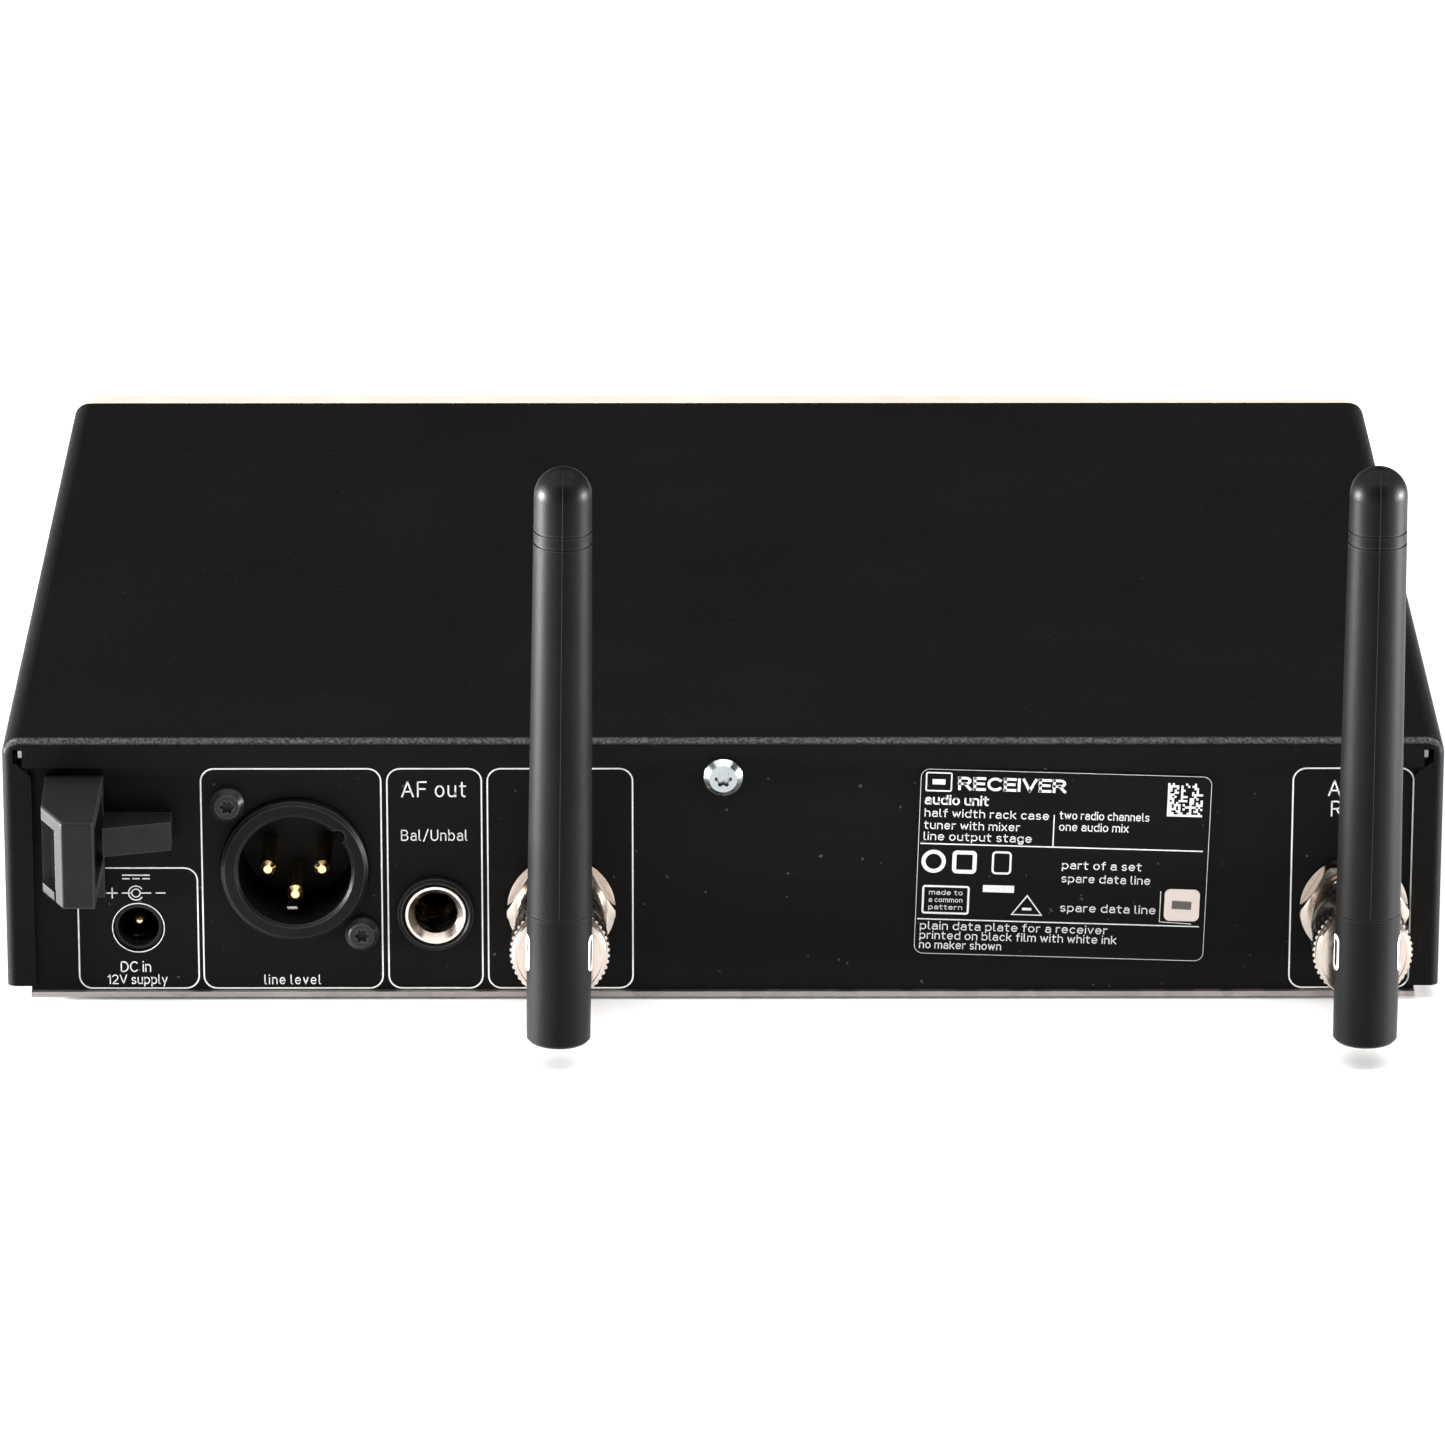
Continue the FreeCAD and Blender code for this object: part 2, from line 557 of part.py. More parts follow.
for side, where in (("a", 1), ("b", -1)):
    for row in (105, 145):
        inner = "%d*99" % where
        outer = "%d*104.7" % where
        low, high = (inner, outer) if where > 0 else (outer, inner)
        foot_low, foot_high = ("102.6", outer) if where > 0 else (outer, "-102.6")
        body = fuse("boss_%s%d_whole" % (side, row), [
            rod_x("boss_%s%d_neck" % (side, row), low, high, "-%d" % row, "20.3", "2.97"),
            rod_x("boss_%s%d_flange" % (side, row), foot_low, foot_high, "-%d" % row, "20.3", "4.2")])
        bosses.append(cut("boss_%s%d" % (side, row), body, rod_x(
            "boss_%s%d_bore" % (side, row), "%s-1" % low, "%s+1" % high, "-%d" % row, "20.3", "2.1")))
node("bracket_bosses", group("boss_set", bosses))

# ---------------------------------------------------------------- power socket
power_block = box("power_block", "power_x-4.5", "power_x+4.5", "-16.5", "-2.9", "power_z-4.8", "power_z+5.4")
power_collar = rod_y("power_collar", "power_x", "power_z", "3.5", "-3", "-1.7")
power_bore = rod_y("power_bore", "power_x", "power_z", "3.05", "-13", "2")
node("power_socket_body", cut("power_socket_cut", fuse("power_socket_whole", [power_block, power_collar]),
                              power_bore))
node("power_socket_pin", fuse("power_pin", [
    rod_y("power_pin_shank", "power_x", "power_z", "1", "-12.95", "-5"),
    ball("power_pin_tip", "power_x", "-5", "power_z", "1")]))
node("power_socket_spring", box("power_spring", "power_x-1", "power_x+1", "-12.9", "-5",
                                "power_z-2.75", "power_z-2.45"))

# ---------------------------------------------------------------- XLR socket
xlr_tube = rod_y("xlr_tube", "xlr_x", "xlr_z", "xlr_outer", "-18", "0.1")
xlr_bevel = cone_y("xlr_bevel", "xlr_x", "xlr_z", "xlr_outer", "xlr_outer-0.5", "0.1", "0.6")
xlr_plate = box("xlr_plate", "xlr_x-13", "xlr_x+13", "-4.6", "-2.9", "xlr_z-13.5", "xlr_z+14")
key_turn = math.radians(40)
xlr_key = rod_y("xlr_key", "xlr_x-xlr_inner*%.4f" % math.cos(key_turn), "xlr_z+xlr_inner*%.4f" % math.sin(key_turn),
                "1.1", "-9", "2")
xlr_tools = [rod_y("xlr_bore", "xlr_x", "xlr_z", "xlr_inner", "-16", "2"),
             cone_y("xlr_lead", "xlr_x", "xlr_z", "xlr_inner", "xlr_inner+0.5", "0.2", "0.7"), xlr_key,
             rod_y("xlr_thread_up", "xlr_x+9.8", "xlr_z+10.1", "1.3", "-6", "0"),
             rod_y("xlr_thread_low", "xlr_x-9.8", "xlr_z-10.1", "1.3", "-6", "0")]
PIN_SPOTS = [("xlr_x+4", "xlr_z-0.1"), ("xlr_x-4", "xlr_z-0.1"), ("xlr_x", "xlr_z-4")]
for n, (px, pz) in enumerate(PIN_SPOTS):
    xlr_tools.append(rod_y("xlr_clear_%d" % n, px, pz, "1.6", "-19", "-15"))
node("xlr_shell", cut_all("xlr_shell_cut", fuse("xlr_shell_whole", [xlr_tube, xlr_bevel, xlr_plate]), xlr_tools))
insert = rod_y("xlr_disc", "xlr_x", "xlr_z", "xlr_inner-0.05", "-15.95", "-13.4")
insert_tools = [rod_y("xlr_insert_hole_%d" % n, px, pz, "1.22", "-17", "-12")
                for n, (px, pz) in enumerate(PIN_SPOTS)]
insert_tools.append(box("xlr_insert_slot", "xlr_x-0.3", "xlr_x+1.5", "-14.6", "-12", "xlr_z-7.4", "xlr_z-5.9"))
node("xlr_insert", cut_all("xlr_insert_cut", insert, insert_tools))
pins = []
for n, (px, pz) in enumerate(PIN_SPOTS):
    pins.append(fuse("xlr_pin_%d" % n, [rod_y("xlr_pin_%d_shank" % n, px, pz, "1.2", "-21", "-1.6"),
                                        cone_y("xlr_pin_%d_tip" % n, px, pz, "1.2", "0.6", "-1.6", "-0.9")]))
node("xlr_pins", group("xlr_pin_set", pins))
node("xlr_ground_contact", box("xlr_tab", "xlr_x-0.15", "xlr_x+1.35", "-14.5", "-3.5", "xlr_z-7.3", "xlr_z-6.9"))
node("xlr_screws", group("xlr_screw_set", [
    star_screw("xlr_screw_up", "xlr_x+9.8", "xlr_z+10.1", "2.5", "1.25", "-1.2", "0.5", "5"),
    star_screw("xlr_screw_low", "xlr_x-9.8", "xlr_z-10.1", "2.5", "1.25", "-1.2", "0.5", "5")]))

# ---------------------------------------------------------------- audio jack
bushing = rod_y("bushing_tube", "jack_x", "jack_z", "4.45", "-13.2", "-0.1")
bushing_tools = [rod_y("bushing_bore", "jack_x", "jack_z", "jack_bore", "-14", "1"),
                 cone_y("bushing_lead", "jack_x", "jack_z", "jack_bore", "4.25", "-1.2", "0.15")]
node("audio_jack_bushing", cut_all("bushing_cut", bushing, bushing_tools))
ring = rod_y("ring_body", "jack_x", "jack_z", "5.6", "-1.2", "-0.35")
ring_rim = rod_y("ring_rim", "jack_x", "jack_z", "5.1", "-0.35", "0.1")
node("audio_jack_ring", cut_all("ring_cut", fuse("ring_whole", [ring, ring_rim]), [
    rod_y("ring_bore", "jack_x", "jack_z", "4.5", "-3", "2"),
    cone_y("ring_lead", "jack_x", "jack_z", "4.5", "5.05", "-0.5", "0.15")]))
block = box("jack_block", "jack_x-7.6", "jack_x+7.6", "-34", "-3.2", "jack_z-5", "jack_z+9")
node("audio_jack_housing", cut_all("jack_block_cut", block, [
    rod_y("jack_block_front", "jack_x", "jack_z", "4.5", "-13.3", "0"),
    rod_y("jack_block_bore", "jack_x", "jack_z", "jack_bore+0.5", "-32", "-13")]))
node("audio_jack_contacts", group("jack_contact_set", [
    box("jack_contact_a", "jack_x+0.5", "jack_x+1.9", "-29", "-17", "jack_z-1.6", "jack_z-1.45"),
    box("jack_contact_b", "jack_x-2.2", "jack_x-0.5", "-29", "-17", "jack_z-1.6", "jack_z-1.45")]))

# ---------------------------------------------------------------- cable holder
holder = new_body("holder_body")
HOLD_BACK = "rear_y-1.2"
holder_plan = [("91.2", HOLD_BACK), ("91.4", "rear_y+20"), ("96.1", "rear_y+20"), ("99.4", "rear_y+12.9"),
               ("99.7", HOLD_BACK)]
holder_pad = pad(holder, "holder_pad", polygon_sketch(holder, "holder_outline", "XY_Plane", holder_plan, "21.3"),
                 "13.35")
dress(holder, "Fillet", "holder_soft", holder_pad,
      lambda m, d: m.y > val("rear_y") + 15 and (abs(d.z) > 5 or abs(d.x) > 3), "0.5")
holder_back = box("holder_back", "91.2", "99.7", "-1.2", "0.9", "16.2", "34.65")
arm = new_body("holder_arm")
pad(arm, "arm_pad", polygon_sketch(arm, "arm_outline", "XY_Plane", [
    ("92", HOLD_BACK), ("81.2", HOLD_BACK), ("81.2", "rear_y+3.3"), ("92", "rear_y+6.4")], "24.4"), "4.4")
pegs = [rod_y("holder_peg_up", "95.4", "31", "1.57", "-3.6", "-1"),
        rod_y("holder_peg_low", "95.4", "20.5", "1.57", "-3.6", "-1")]
holder_whole = fuse("holder_whole", [holder, holder_back, arm] + pegs)
holder_tools = [box("holder_channel", "91.0", "97.9", "0.9", "17.6", "22.9", "32.7"),
                box("holder_gate", "91.0", "105", "12.6", "17.6", "22.9", "32.7"),
                box("holder_snap", "91.0", "105", "17.0", "17.8", "20", "23.5")]
node("cable_holder", cut_all("holder_cut", holder_whole, holder_tools))

# ---------------------------------------------------------------- aerial sockets
AERIALS = [("a", "aerial_a_x"), ("b", "aerial_b_x")]
socket_bodies = []
socket_insulators = []
socket_contacts = []
socket_nuts = []
socket_washers = []
for tag, ax in AERIALS:
    az = "aerial_z"
    parts = [rod_y("socket_%s_tail" % tag, ax, az, "4.6", "-11", "-4.6"),
             rod_y("socket_%s_shoulder" % tag, ax, az, "7.6", "-4.9", "-2.9"),
             rod_y("socket_%s_neck" % tag, ax, az, "neck_radius", "-4.6", "3.3"),
             cone_y("socket_%s_chamfer" % tag, ax, az, "neck_radius", "neck_radius-0.5", "3.3", "3.8"),
             rod_y("socket_%s_barrel" % tag, ax, az, "barrel_radius", "3.8", "barrel_end"),
             rod_x("socket_%s_lugs" % tag, "%s-lug_reach" % ax, "%s+lug_reach" % ax, "lug_y", az, "lug_radius")]
    socket_bodies.append(cut_all("socket_%s" % tag, fuse("socket_%s_whole" % tag, parts), [
        rod_y("socket_%s_bore" % tag, ax, az, "barrel_bore", "4.5", "20"),
        rod_y("socket_%s_seat" % tag, ax, az, "3.3", "-12", "5")]))
    core = rod_y("socket_core_%s_rod" % tag, ax, az, "3.25", "-10.9", "11.5")
    socket_insulators.append(cut("socket_core_%s" % tag, core,
                                 rod_y("socket_core_%s_bore" % tag, ax, az, "1.15", "-12", "13")))
    pin = rod_y("socket_pin_%s_rod" % tag, ax, az, "1.1", "-14", "10.6")
    socket_contacts.append(cut("socket_pin_%s" % tag, pin,
                               rod_y("socket_pin_%s_bore" % tag, ax, az, "0.73", "2", "12")))
    prism = hexagon_y("nut_%s_prism" % tag, ax, az, "nut_across/2/0.8660254", "-0.35", "2.6")
    blank = fuse("nut_%s_blank" % tag, [rod_y("nut_%s_disc" % tag, ax, az, "8", "-0.35", "1.9"),
                                        cone_y("nut_%s_edge" % tag, ax, az, "8", "7.15", "1.9", "2.6")])
    trimmed = common("nut_%s_trimmed" % tag, prism, blank)
    socket_nuts.append(cut("nut_%s" % tag, trimmed,
                           rod_y("nut_%s_bore" % tag, ax, az, "neck_radius+0.1", "-1", "4")))
    washer = rod_y("washer_%s_disc" % tag, ax, az, "8", "-1.2", "-0.45")
    socket_washers.append(cut("washer_%s" % tag, washer,
                              rod_y("washer_%s_bore" % tag, ax, az, "neck_radius+0.15", "-2", "1")))
node("antenna_socket_bodies", group("socket_set", socket_bodies))
node("antenna_socket_insulators", group("socket_core_set", socket_insulators))
node("antenna_socket_contacts", group("socket_pin_set", socket_contacts))
node("antenna_socket_nuts", group("nut_set", socket_nuts))
node("antenna_socket_washers", group("washer_set", socket_washers))

# ---------------------------------------------------------------- swivelling aerials
for tag, ax in AERIALS:
    az = "aerial_z"
    t = "aerial_" + tag
    # Locking collar: grooved sleeve, toothed grip and a flat end with a rim.
    skin_parts = [cone_y(t + "_nose", ax, az, "6.2", "6.75", "collar_start", "collar_start+0.6"),
                  rod_y(t + "_land_a", ax, az, "6.75", "collar_start+0.6", "6.6"),
                  rod_y(t + "_dip_a", ax, az, "6.35", "6.6", "7.4"),
                  rod_y(t + "_land_b", ax, az, "6.75", "7.4", "9.4"),
                  rod_y(t + "_dip_b", ax, az, "6.3", "9.4", "10.2"),
                  rod_y(t + "_land_c", ax, az, "6.75", "10.2", "13.2"),
                  rod_y(t + "_dip_c", ax, az, "6.1", "13.2", "15.3"),
                  rod_y(t + "_grip", ax, az, "collar_knurl", "15.3", "18.2"),
                  rod_y(t + "_dip_d", ax, az, "6.7", "18.2", "18.6"),
                  rod_y(t + "_land_d", ax, az, "6.9", "18.6", "19.3"),
                  cone_y(t + "_end", ax, az, "6.9", "6.65", "19.3", "collar_face")]
    collar = fuse(t + "_collar_whole", skin_parts)
    collar_tools = [rod_y(t + "_collar_bore", ax, az, "collar_bore", "0", "17.6"),
                    rod_y(t + "_collar_lip", ax, az, "4.3", "17", "25"),
                    rod_y(t + "_collar_groove", ax, az, "5.7", "lug_y-1.15", "lug_y+1.15"),
                    box(t + "_collar_entry", "%s-1.15" % ax, "%s+1.15" % ax, "0", "lug_y+1.1",
                        "%s-5.7" % az, "%s+5.7" % az)]
    for n in range(48):
        turn = 2 * math.pi * n / 48
        collar_tools.append(rod_y("%s_tooth_%02d" % (t, n),
                                  "%s+collar_knurl*%.5f" % (ax, math.cos(turn)),
                                  "%s+collar_knurl*%.5f" % (az, math.sin(turn)), "0.27", "15", "18.5"))
    rim_groove = cut(t + "_rim_groove", rod_y(t + "_rim_out", ax, az, "6.3", "collar_face-0.25", "collar_face+1"),
                     rod_y(t + "_rim_in", ax, az, "5.95", "collar_face-0.5", "collar_face+2"))
    collar_tools.append(rim_groove)
    node("antenna_%s_coupling" % tag, cut_all(t + "_collar", collar, collar_tools))
    # Plug inside the collar.
    plug = fuse(t + "_plug_whole", [rod_y(t + "_plug_sleeve", ax, az, "4", "5.2", "14"),
                                    rod_y(t + "_plug_flange", ax, az, "4.92", "14", "17.2"),
                                    rod_y(t + "_plug_boss", ax, az, "4.2", "17.2", "22.5")])
    plug_bore = rod_y(t + "_plug_bore", ax, az, "3.45", "4", "14")
    plug_seat = rod_y(t + "_plug_seat", ax, az, "2.5", "13", "24")
    node("antenna_%s_plug" % tag, cut_all(t + "_plug", plug, [plug_bore, plug_seat]))
    bead = rod_y(t + "_bead_rod", ax, az, "2.45", "12", "22.3")
    node("antenna_%s_insulator" % tag, cut(t + "_bead", bead, rod_y(t + "_bead_bore", ax, az, "0.71", "11", "24")))
    tip = cone_y(t + "_pin_tip", ax, az, "0.3", "0.66", "3.6", "4.4")
    node("antenna_%s_pin" % tag, fuse(t + "_pin", [tip, rod_y(t + "_pin_rod", ax, az, "0.66", "4.4", "24.2")]))
    # Elbow sleeve.
    ry = "rod_y"
    sleeve = fuse(t + "_sleeve_whole", [
        rod_y(t + "_sleeve_neck", ax, az, "4.65", "20", "rod_y"),
        cone_z(t + "_sleeve_barrel", ax, ry, "sleeve_radius-0.1", "sleeve_radius", "rod_low+0.4", "rod_seam-0.1"),
        cone_z(t + "_sleeve_foot", ax, ry, "sleeve_radius-0.45", "sleeve_radius-0.1", "rod_low", "rod_low+0.4")])
    node("antenna_%s_sleeve" % tag, cut_all(t + "_sleeve", sleeve, [
        rod_y(t + "_sleeve_seat", ax, az, "4.25", "19", "22.7"),
        rod_y(t + "_sleeve_channel", ax, az, "1.6", "22", "rod_y"),
        rod_z(t + "_sleeve_bore", ax, ry, "1.7", "11.5", "30"),
        rod_z(t + "_sleeve_socket", ax, ry, "3.3", "18.8", "30")]))
    # Rod cover and the radiator inside it.
    crown = "rod_top-rod_top_radius"
    shaft = fuse(t + "_rod_whole", [
        cone_z(t + "_rod_shaft", ax, ry, "rod_low_radius", "rod_top_radius", "rod_seam", crown),
        ball(t + "_rod_dome", ax, ry, crown, "rod_top_radius"),
        rod_z(t + "_rod_spigot", ax, ry, "3.25", "19", "rod_seam+0.1")])
    rod_tools = [rod_z(t + "_rod_bore", ax, ry, "1.7", "18", "84")]
    for n, height in enumerate((79.2, 81.05)):
        rod_tools.append(cut("%s_rod_ring_%d" % (t, n), rod_z("%s_ring_out_%d" % (t, n), ax, ry, "6", height,
                                                               height + 0.35),
                             rod_z("%s_ring_in_%d" % (t, n), ax, ry, "rod_top_radius-0.18", height - 1, height + 1)))
    node("antenna_%s_rod" % tag, cut_all(t + "_rod", shaft, rod_tools))
    radiator_parts = [rod_z(t + "_radiator_core", ax, ry, "1.0", "11.8", "82")]
    for n in range(12):
        radiator_parts.append(rod_z("%s_radiator_turn_%d" % (t, n), ax, ry, "1.45", 30 + 4 * n, 31.4 + 4 * n))
    node("antenna_%s_radiator" % tag, fuse(t + "_radiator", radiator_parts))

# Aerial A rests leaning a little to one side about its swivel axis.
aerial_lean = FreeCAD.Rotation(FreeCAD.Vector(0, 1, 0), -0.75)
swivel_point = FreeCAD.Vector(val("aerial_a_x"), 0, val("aerial_z"))
for name, obj in NODES:
    if name in ("antenna_a_plug", "antenna_a_insulator", "antenna_a_pin", "antenna_a_sleeve",
                "antenna_a_rod", "antenna_a_radiator"):
        obj.Placement = FreeCAD.Placement(FreeCAD.Vector(0, 0, 0), aerial_lean, swivel_point)

# ---------------------------------------------------------------- check and write
doc.recompute()
faults = [o.Name for o in doc.Objects if "Invalid" in o.State or "Error" in o.State]
if faults:
    raise SystemExit("objects in error: " + ", ".join(faults))
os.makedirs("parts", exist_ok=True)
whole = FreeCAD.BoundBox()
for name, obj in NODES:
    shape = obj.Shape
    if shape.isNull() or not shape.isValid() or not shape.Solids:
        raise SystemExit("bad shape: " + name)
    if not all(s.isClosed() for s in shape.Shells):
        raise SystemExit("open shell: " + name)
    whole.add(shape.BoundBox)
    shape.exportStep("parts/%s.step" % name)
    print("%-28s solids %3d volume %9.2f" % (name, len(shape.Solids), shape.Volume))
print("nodes", len(NODES), "box", whole)
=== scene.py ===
import bmesh
import bpy
import math
import numpy as np
from mathutils import Matrix, Vector


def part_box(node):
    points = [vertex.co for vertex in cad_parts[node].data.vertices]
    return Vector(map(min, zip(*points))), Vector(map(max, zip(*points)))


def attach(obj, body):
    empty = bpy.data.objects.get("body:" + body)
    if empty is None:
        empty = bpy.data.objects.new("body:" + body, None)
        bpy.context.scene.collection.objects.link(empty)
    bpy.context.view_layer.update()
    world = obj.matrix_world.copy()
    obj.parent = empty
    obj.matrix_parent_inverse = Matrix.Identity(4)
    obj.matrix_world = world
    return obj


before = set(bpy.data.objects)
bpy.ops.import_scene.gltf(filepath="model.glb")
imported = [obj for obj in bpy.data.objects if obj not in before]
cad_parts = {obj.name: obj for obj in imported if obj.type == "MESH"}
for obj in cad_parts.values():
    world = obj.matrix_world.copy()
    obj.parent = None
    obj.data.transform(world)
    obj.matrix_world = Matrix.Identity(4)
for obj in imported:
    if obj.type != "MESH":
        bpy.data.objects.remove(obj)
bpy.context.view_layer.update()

MM = 0.001
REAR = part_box("top_cover")[1].y            # outer face of the cover's rear flange
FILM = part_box("rear_overlay")[1].y         # printed face of the rear overlay
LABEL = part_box("type_plate")[1].y
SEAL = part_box("security_sticker")[1].y


# ------------------------------------------------------------------ materials
def shader(name, color, rough, metal=0.0, specular=0.5):
    """An empty finish: one Principled shader with its plain numbers set on its own sockets."""
    mat = bpy.data.materials.new(name)
    mat.use_nodes = True
    bsdf = mat.node_tree.nodes["Principled BSDF"]
    bsdf.inputs["Base Color"].default_value = (*color, 1)
    bsdf.inputs["Roughness"].default_value = rough
    bsdf.inputs["Metallic"].default_value = metal
    bsdf.inputs["Specular IOR Level"].default_value = specular
    return mat, mat.node_tree, bsdf


def place_coords(tree, stretch=(1, 1, 1)):
    """Object coordinates, scaled in millimetres so that a noise scale of 1 is about 1 mm."""
    coord = tree.nodes.new("ShaderNodeTexCoord")
    mapping = tree.nodes.new("ShaderNodeMapping")
    mapping.inputs["Scale"].default_value = [1000.0 * s for s in stretch]
    tree.links.new(coord.outputs["Object"], mapping.inputs["Vector"])
    return mapping.outputs["Vector"]


def noise(tree, vector, scale, detail=3.0):
    node = tree.nodes.new("ShaderNodeTexNoise")
    node.inputs["Scale"].default_value = scale
    node.inputs["Detail"].default_value = detail
    tree.links.new(vector, node.inputs["Vector"])
    return node.outputs["Fac"]


def ramp(tree, source, low, high, start=0.3, end=0.7):
    """Carries a 0..1 pattern to a range of numbers, easing between start and end."""
    node = tree.nodes.new("ShaderNodeMapRange")
    node.inputs["From Min"].default_value = start
    node.inputs["From Max"].default_value = end
    node.inputs["To Min"].default_value = low
    node.inputs["To Max"].default_value = high
    tree.links.new(source, node.inputs["Value"])
    return node.outputs["Result"]


def tint(tree, source, dark, light):
    node = tree.nodes.new("ShaderNodeMix")
    node.data_type = "RGBA"
    node.inputs["A"].default_value = (*dark, 1)
    node.inputs["B"].default_value = (*light, 1)
    tree.links.new(source, node.inputs["Factor"])
    return node.outputs["Result"]


def tint_over(tree, base, factor, color):
    """Lays one plain color over a base, as far as factor says."""
    mix = tree.nodes.new("ShaderNodeMix")
    mix.data_type = "RGBA"
    tree.links.new(factor, mix.inputs["Factor"])
    tree.links.new(base, mix.inputs["A"])
    mix.inputs["B"].default_value = (*color, 1)
    return mix.outputs["Result"]


def bump(tree, bsdf, height, strength, distance):
    node = tree.nodes.new("ShaderNodeBump")
    node.inputs["Strength"].default_value = strength
    node.inputs["Distance"].default_value = distance
    tree.links.new(height, node.inputs["Height"])
    tree.links.new(node.outputs["Normal"], bsdf.inputs["Normal"])


def painted_edge_highlight(tree, base, light, amount=0.5, reach=0.0006):
    """Paints a highlight along convex edges: a lighter colour laid over the base where the bevelled normal
    turns away.
    """
    bevel = tree.nodes.new("ShaderNodeBevel")
    bevel.samples = 4
    bevel.inputs["Radius"].default_value = reach
    geometry = tree.nodes.new("ShaderNodeNewGeometry")
    dot = tree.nodes.new("ShaderNodeVectorMath")
    dot.operation = "DOT_PRODUCT"
    tree.links.new(bevel.outputs["Normal"], dot.inputs[0])
    tree.links.new(geometry.outputs["Normal"], dot.inputs[1])
    return tint_over(tree, base, ramp(tree, dot.outputs["Value"], amount, 0.0, 0.80, 0.99), light)


def powder_coat():
    """Black powder coat: fine pebbled grain, a little dust, and a speckled painted highlight along
    the rear top bend, where the base colour is lightened to stand in for the light the bend reflects."""
    mat, tree, bsdf = shader("powder_coat_black", (0.012, 0.0115, 0.0115), 0.5, specular=0.05)
    at = place_coords(tree)
    fine = noise(tree, at, 2.6, 2.0)
    slow = noise(tree, at, 0.035, 2.0)
    speck = noise(tree, at, 1.1, 1.0)
    body = tint(tree, ramp(tree, slow, 0, 1), (0.0036, 0.0033, 0.0034), (0.0050, 0.0046, 0.0043))
    body = tint_over(tree, body, ramp(tree, speck, 0, 0.3, 0.72, 0.80), (0.03, 0.028, 0.026))
    coord = tree.nodes.new("ShaderNodeTexCoord")
    split = tree.nodes.new("ShaderNodeSeparateXYZ")
    tree.links.new(coord.outputs["Normal"], split.inputs["Vector"])
    slope = tree.nodes.new("ShaderNodeMath")
    slope.operation = "MULTIPLY"
    tree.links.new(split.outputs["Y"], slope.inputs[0])
    tree.links.new(split.outputs["Z"], slope.inputs[1])
    bend = ramp(tree, slope.outputs["Value"], 0.0, 1.0, 0.25, 0.47)
    # Painted highlight: where the normal leans both up and back, the base colour is lightened, broken up by
    # fine noise, in place of the bend's reflection.
    bend_highlight_paint = tree.nodes.new("ShaderNodeMath")
    bend_highlight_paint.operation = "MULTIPLY"
    tree.links.new(bend, bend_highlight_paint.inputs[0])
    tree.links.new(ramp(tree, fine, 0.15, 0.9, 0.35, 0.65), bend_highlight_paint.inputs[1])
    tree.links.new(tint_over(tree, body, bend_highlight_paint.outputs["Value"], (0.10, 0.10, 0.098)),
                   bsdf.inputs["Base Color"])
    tree.links.new(ramp(tree, fine, 0.42, 0.62), bsdf.inputs["Roughness"])
    bump(tree, bsdf, fine, 0.55, 0.00010)
    return mat


def satin_film():
    """Printed polyester film: near black, very fine grain, a few grains of dust."""
    mat, tree, bsdf = shader("overlay_film_black", (0.006, 0.006, 0.006), 0.5, specular=0.07)
    at = place_coords(tree)
    dust = noise(tree, at, 0.9, 1.0)
    slow = noise(tree, at, 0.05, 2.0)
    body = tint(tree, ramp(tree, slow, 0, 1), (0.0028, 0.0025, 0.0026), (0.0040, 0.0037, 0.0037))
    tree.links.new(tint_over(tree, body, ramp(tree, dust, 0, 0.5, 0.765, 0.79), (0.10, 0.09, 0.085)),
                   bsdf.inputs["Base Color"])
    tree.links.new(ramp(tree, slow, 0.45, 0.58), bsdf.inputs["Roughness"])
    bump(tree, bsdf, noise(tree, at, 6.0, 2.0), 0.15, 0.00003)
    return mat


def galvanised():
    """Zinc-coated sheet: crystal spangles a few millimetres wide and fine rolling lines."""
    mat, tree, bsdf = shader("galvanised_sheet", (0.62, 0.59, 0.56), 0.35, metal=1.0)
    at = place_coords(tree)
    cells = tree.nodes.new("ShaderNodeTexVoronoi")
    cells.inputs["Scale"].default_value = 0.28
    tree.links.new(at, cells.inputs["Vector"])
    grey = tree.nodes.new("ShaderNodeRGBToBW")
    tree.links.new(cells.outputs["Color"], grey.inputs["Color"])
    tree.links.new(tint(tree, grey.outputs["Val"], (0.27, 0.245, 0.24), (0.38, 0.35, 0.34)),
                   bsdf.inputs["Base Color"])
    tree.links.new(ramp(tree, grey.outputs["Val"], 0.28, 0.46, 0.0, 1.0), bsdf.inputs["Roughness"])
    bump(tree, bsdf, noise(tree, place_coords(tree, (0.05, 3, 3)), 2.0, 3.0), 0.2, 0.00004)
    return mat


def plated(name, color, low, high):
    """Bright plating with a faint fine grain and patches of haze."""
    mat, tree, bsdf = shader(name, color, low, metal=1.0)
    at = place_coords(tree)
    haze = noise(tree, at, 0.5, 3.0)
    dull = tuple(c * 0.86 for c in color)
    tree.links.new(tint(tree, ramp(tree, haze, 0, 1), dull, color), bsdf.inputs["Base Color"])
    tree.links.new(ramp(tree, haze, low, high), bsdf.inputs["Roughness"])
    bump(tree, bsdf, noise(tree, at, 4.0, 2.0), 0.12, 0.00003)
    return mat


def moulded(name, dark, light, low, high, grain=3.0, depth=0.00006, strength=0.35, edge_highlight_paint=None, shine=0.14):
    """Moulded plastic: spark-eroded texture, slow changes of tone, and a painted highlight lightening the
    edges.
    """
    mat, tree, bsdf = shader(name, dark, low, specular=shine)
    at = place_coords(tree)
    fine = noise(tree, at, grain, 2.0)
    slow = noise(tree, at, 0.12, 2.0)
    body = tint(tree, ramp(tree, slow, 0, 1), dark, light)
    # Painted highlight: convex edges get a lighter colour in place of the light they would catch.
    body = painted_edge_highlight(tree, body, edge_highlight_paint or tuple(min(1, c * 3 + 0.02) for c in light), 0.6, 0.0003)
    tree.links.new(body, bsdf.inputs["Base Color"])
    tree.links.new(ramp(tree, fine, low, high), bsdf.inputs["Roughness"])
    bump(tree, bsdf, fine, strength, depth)
    return mat


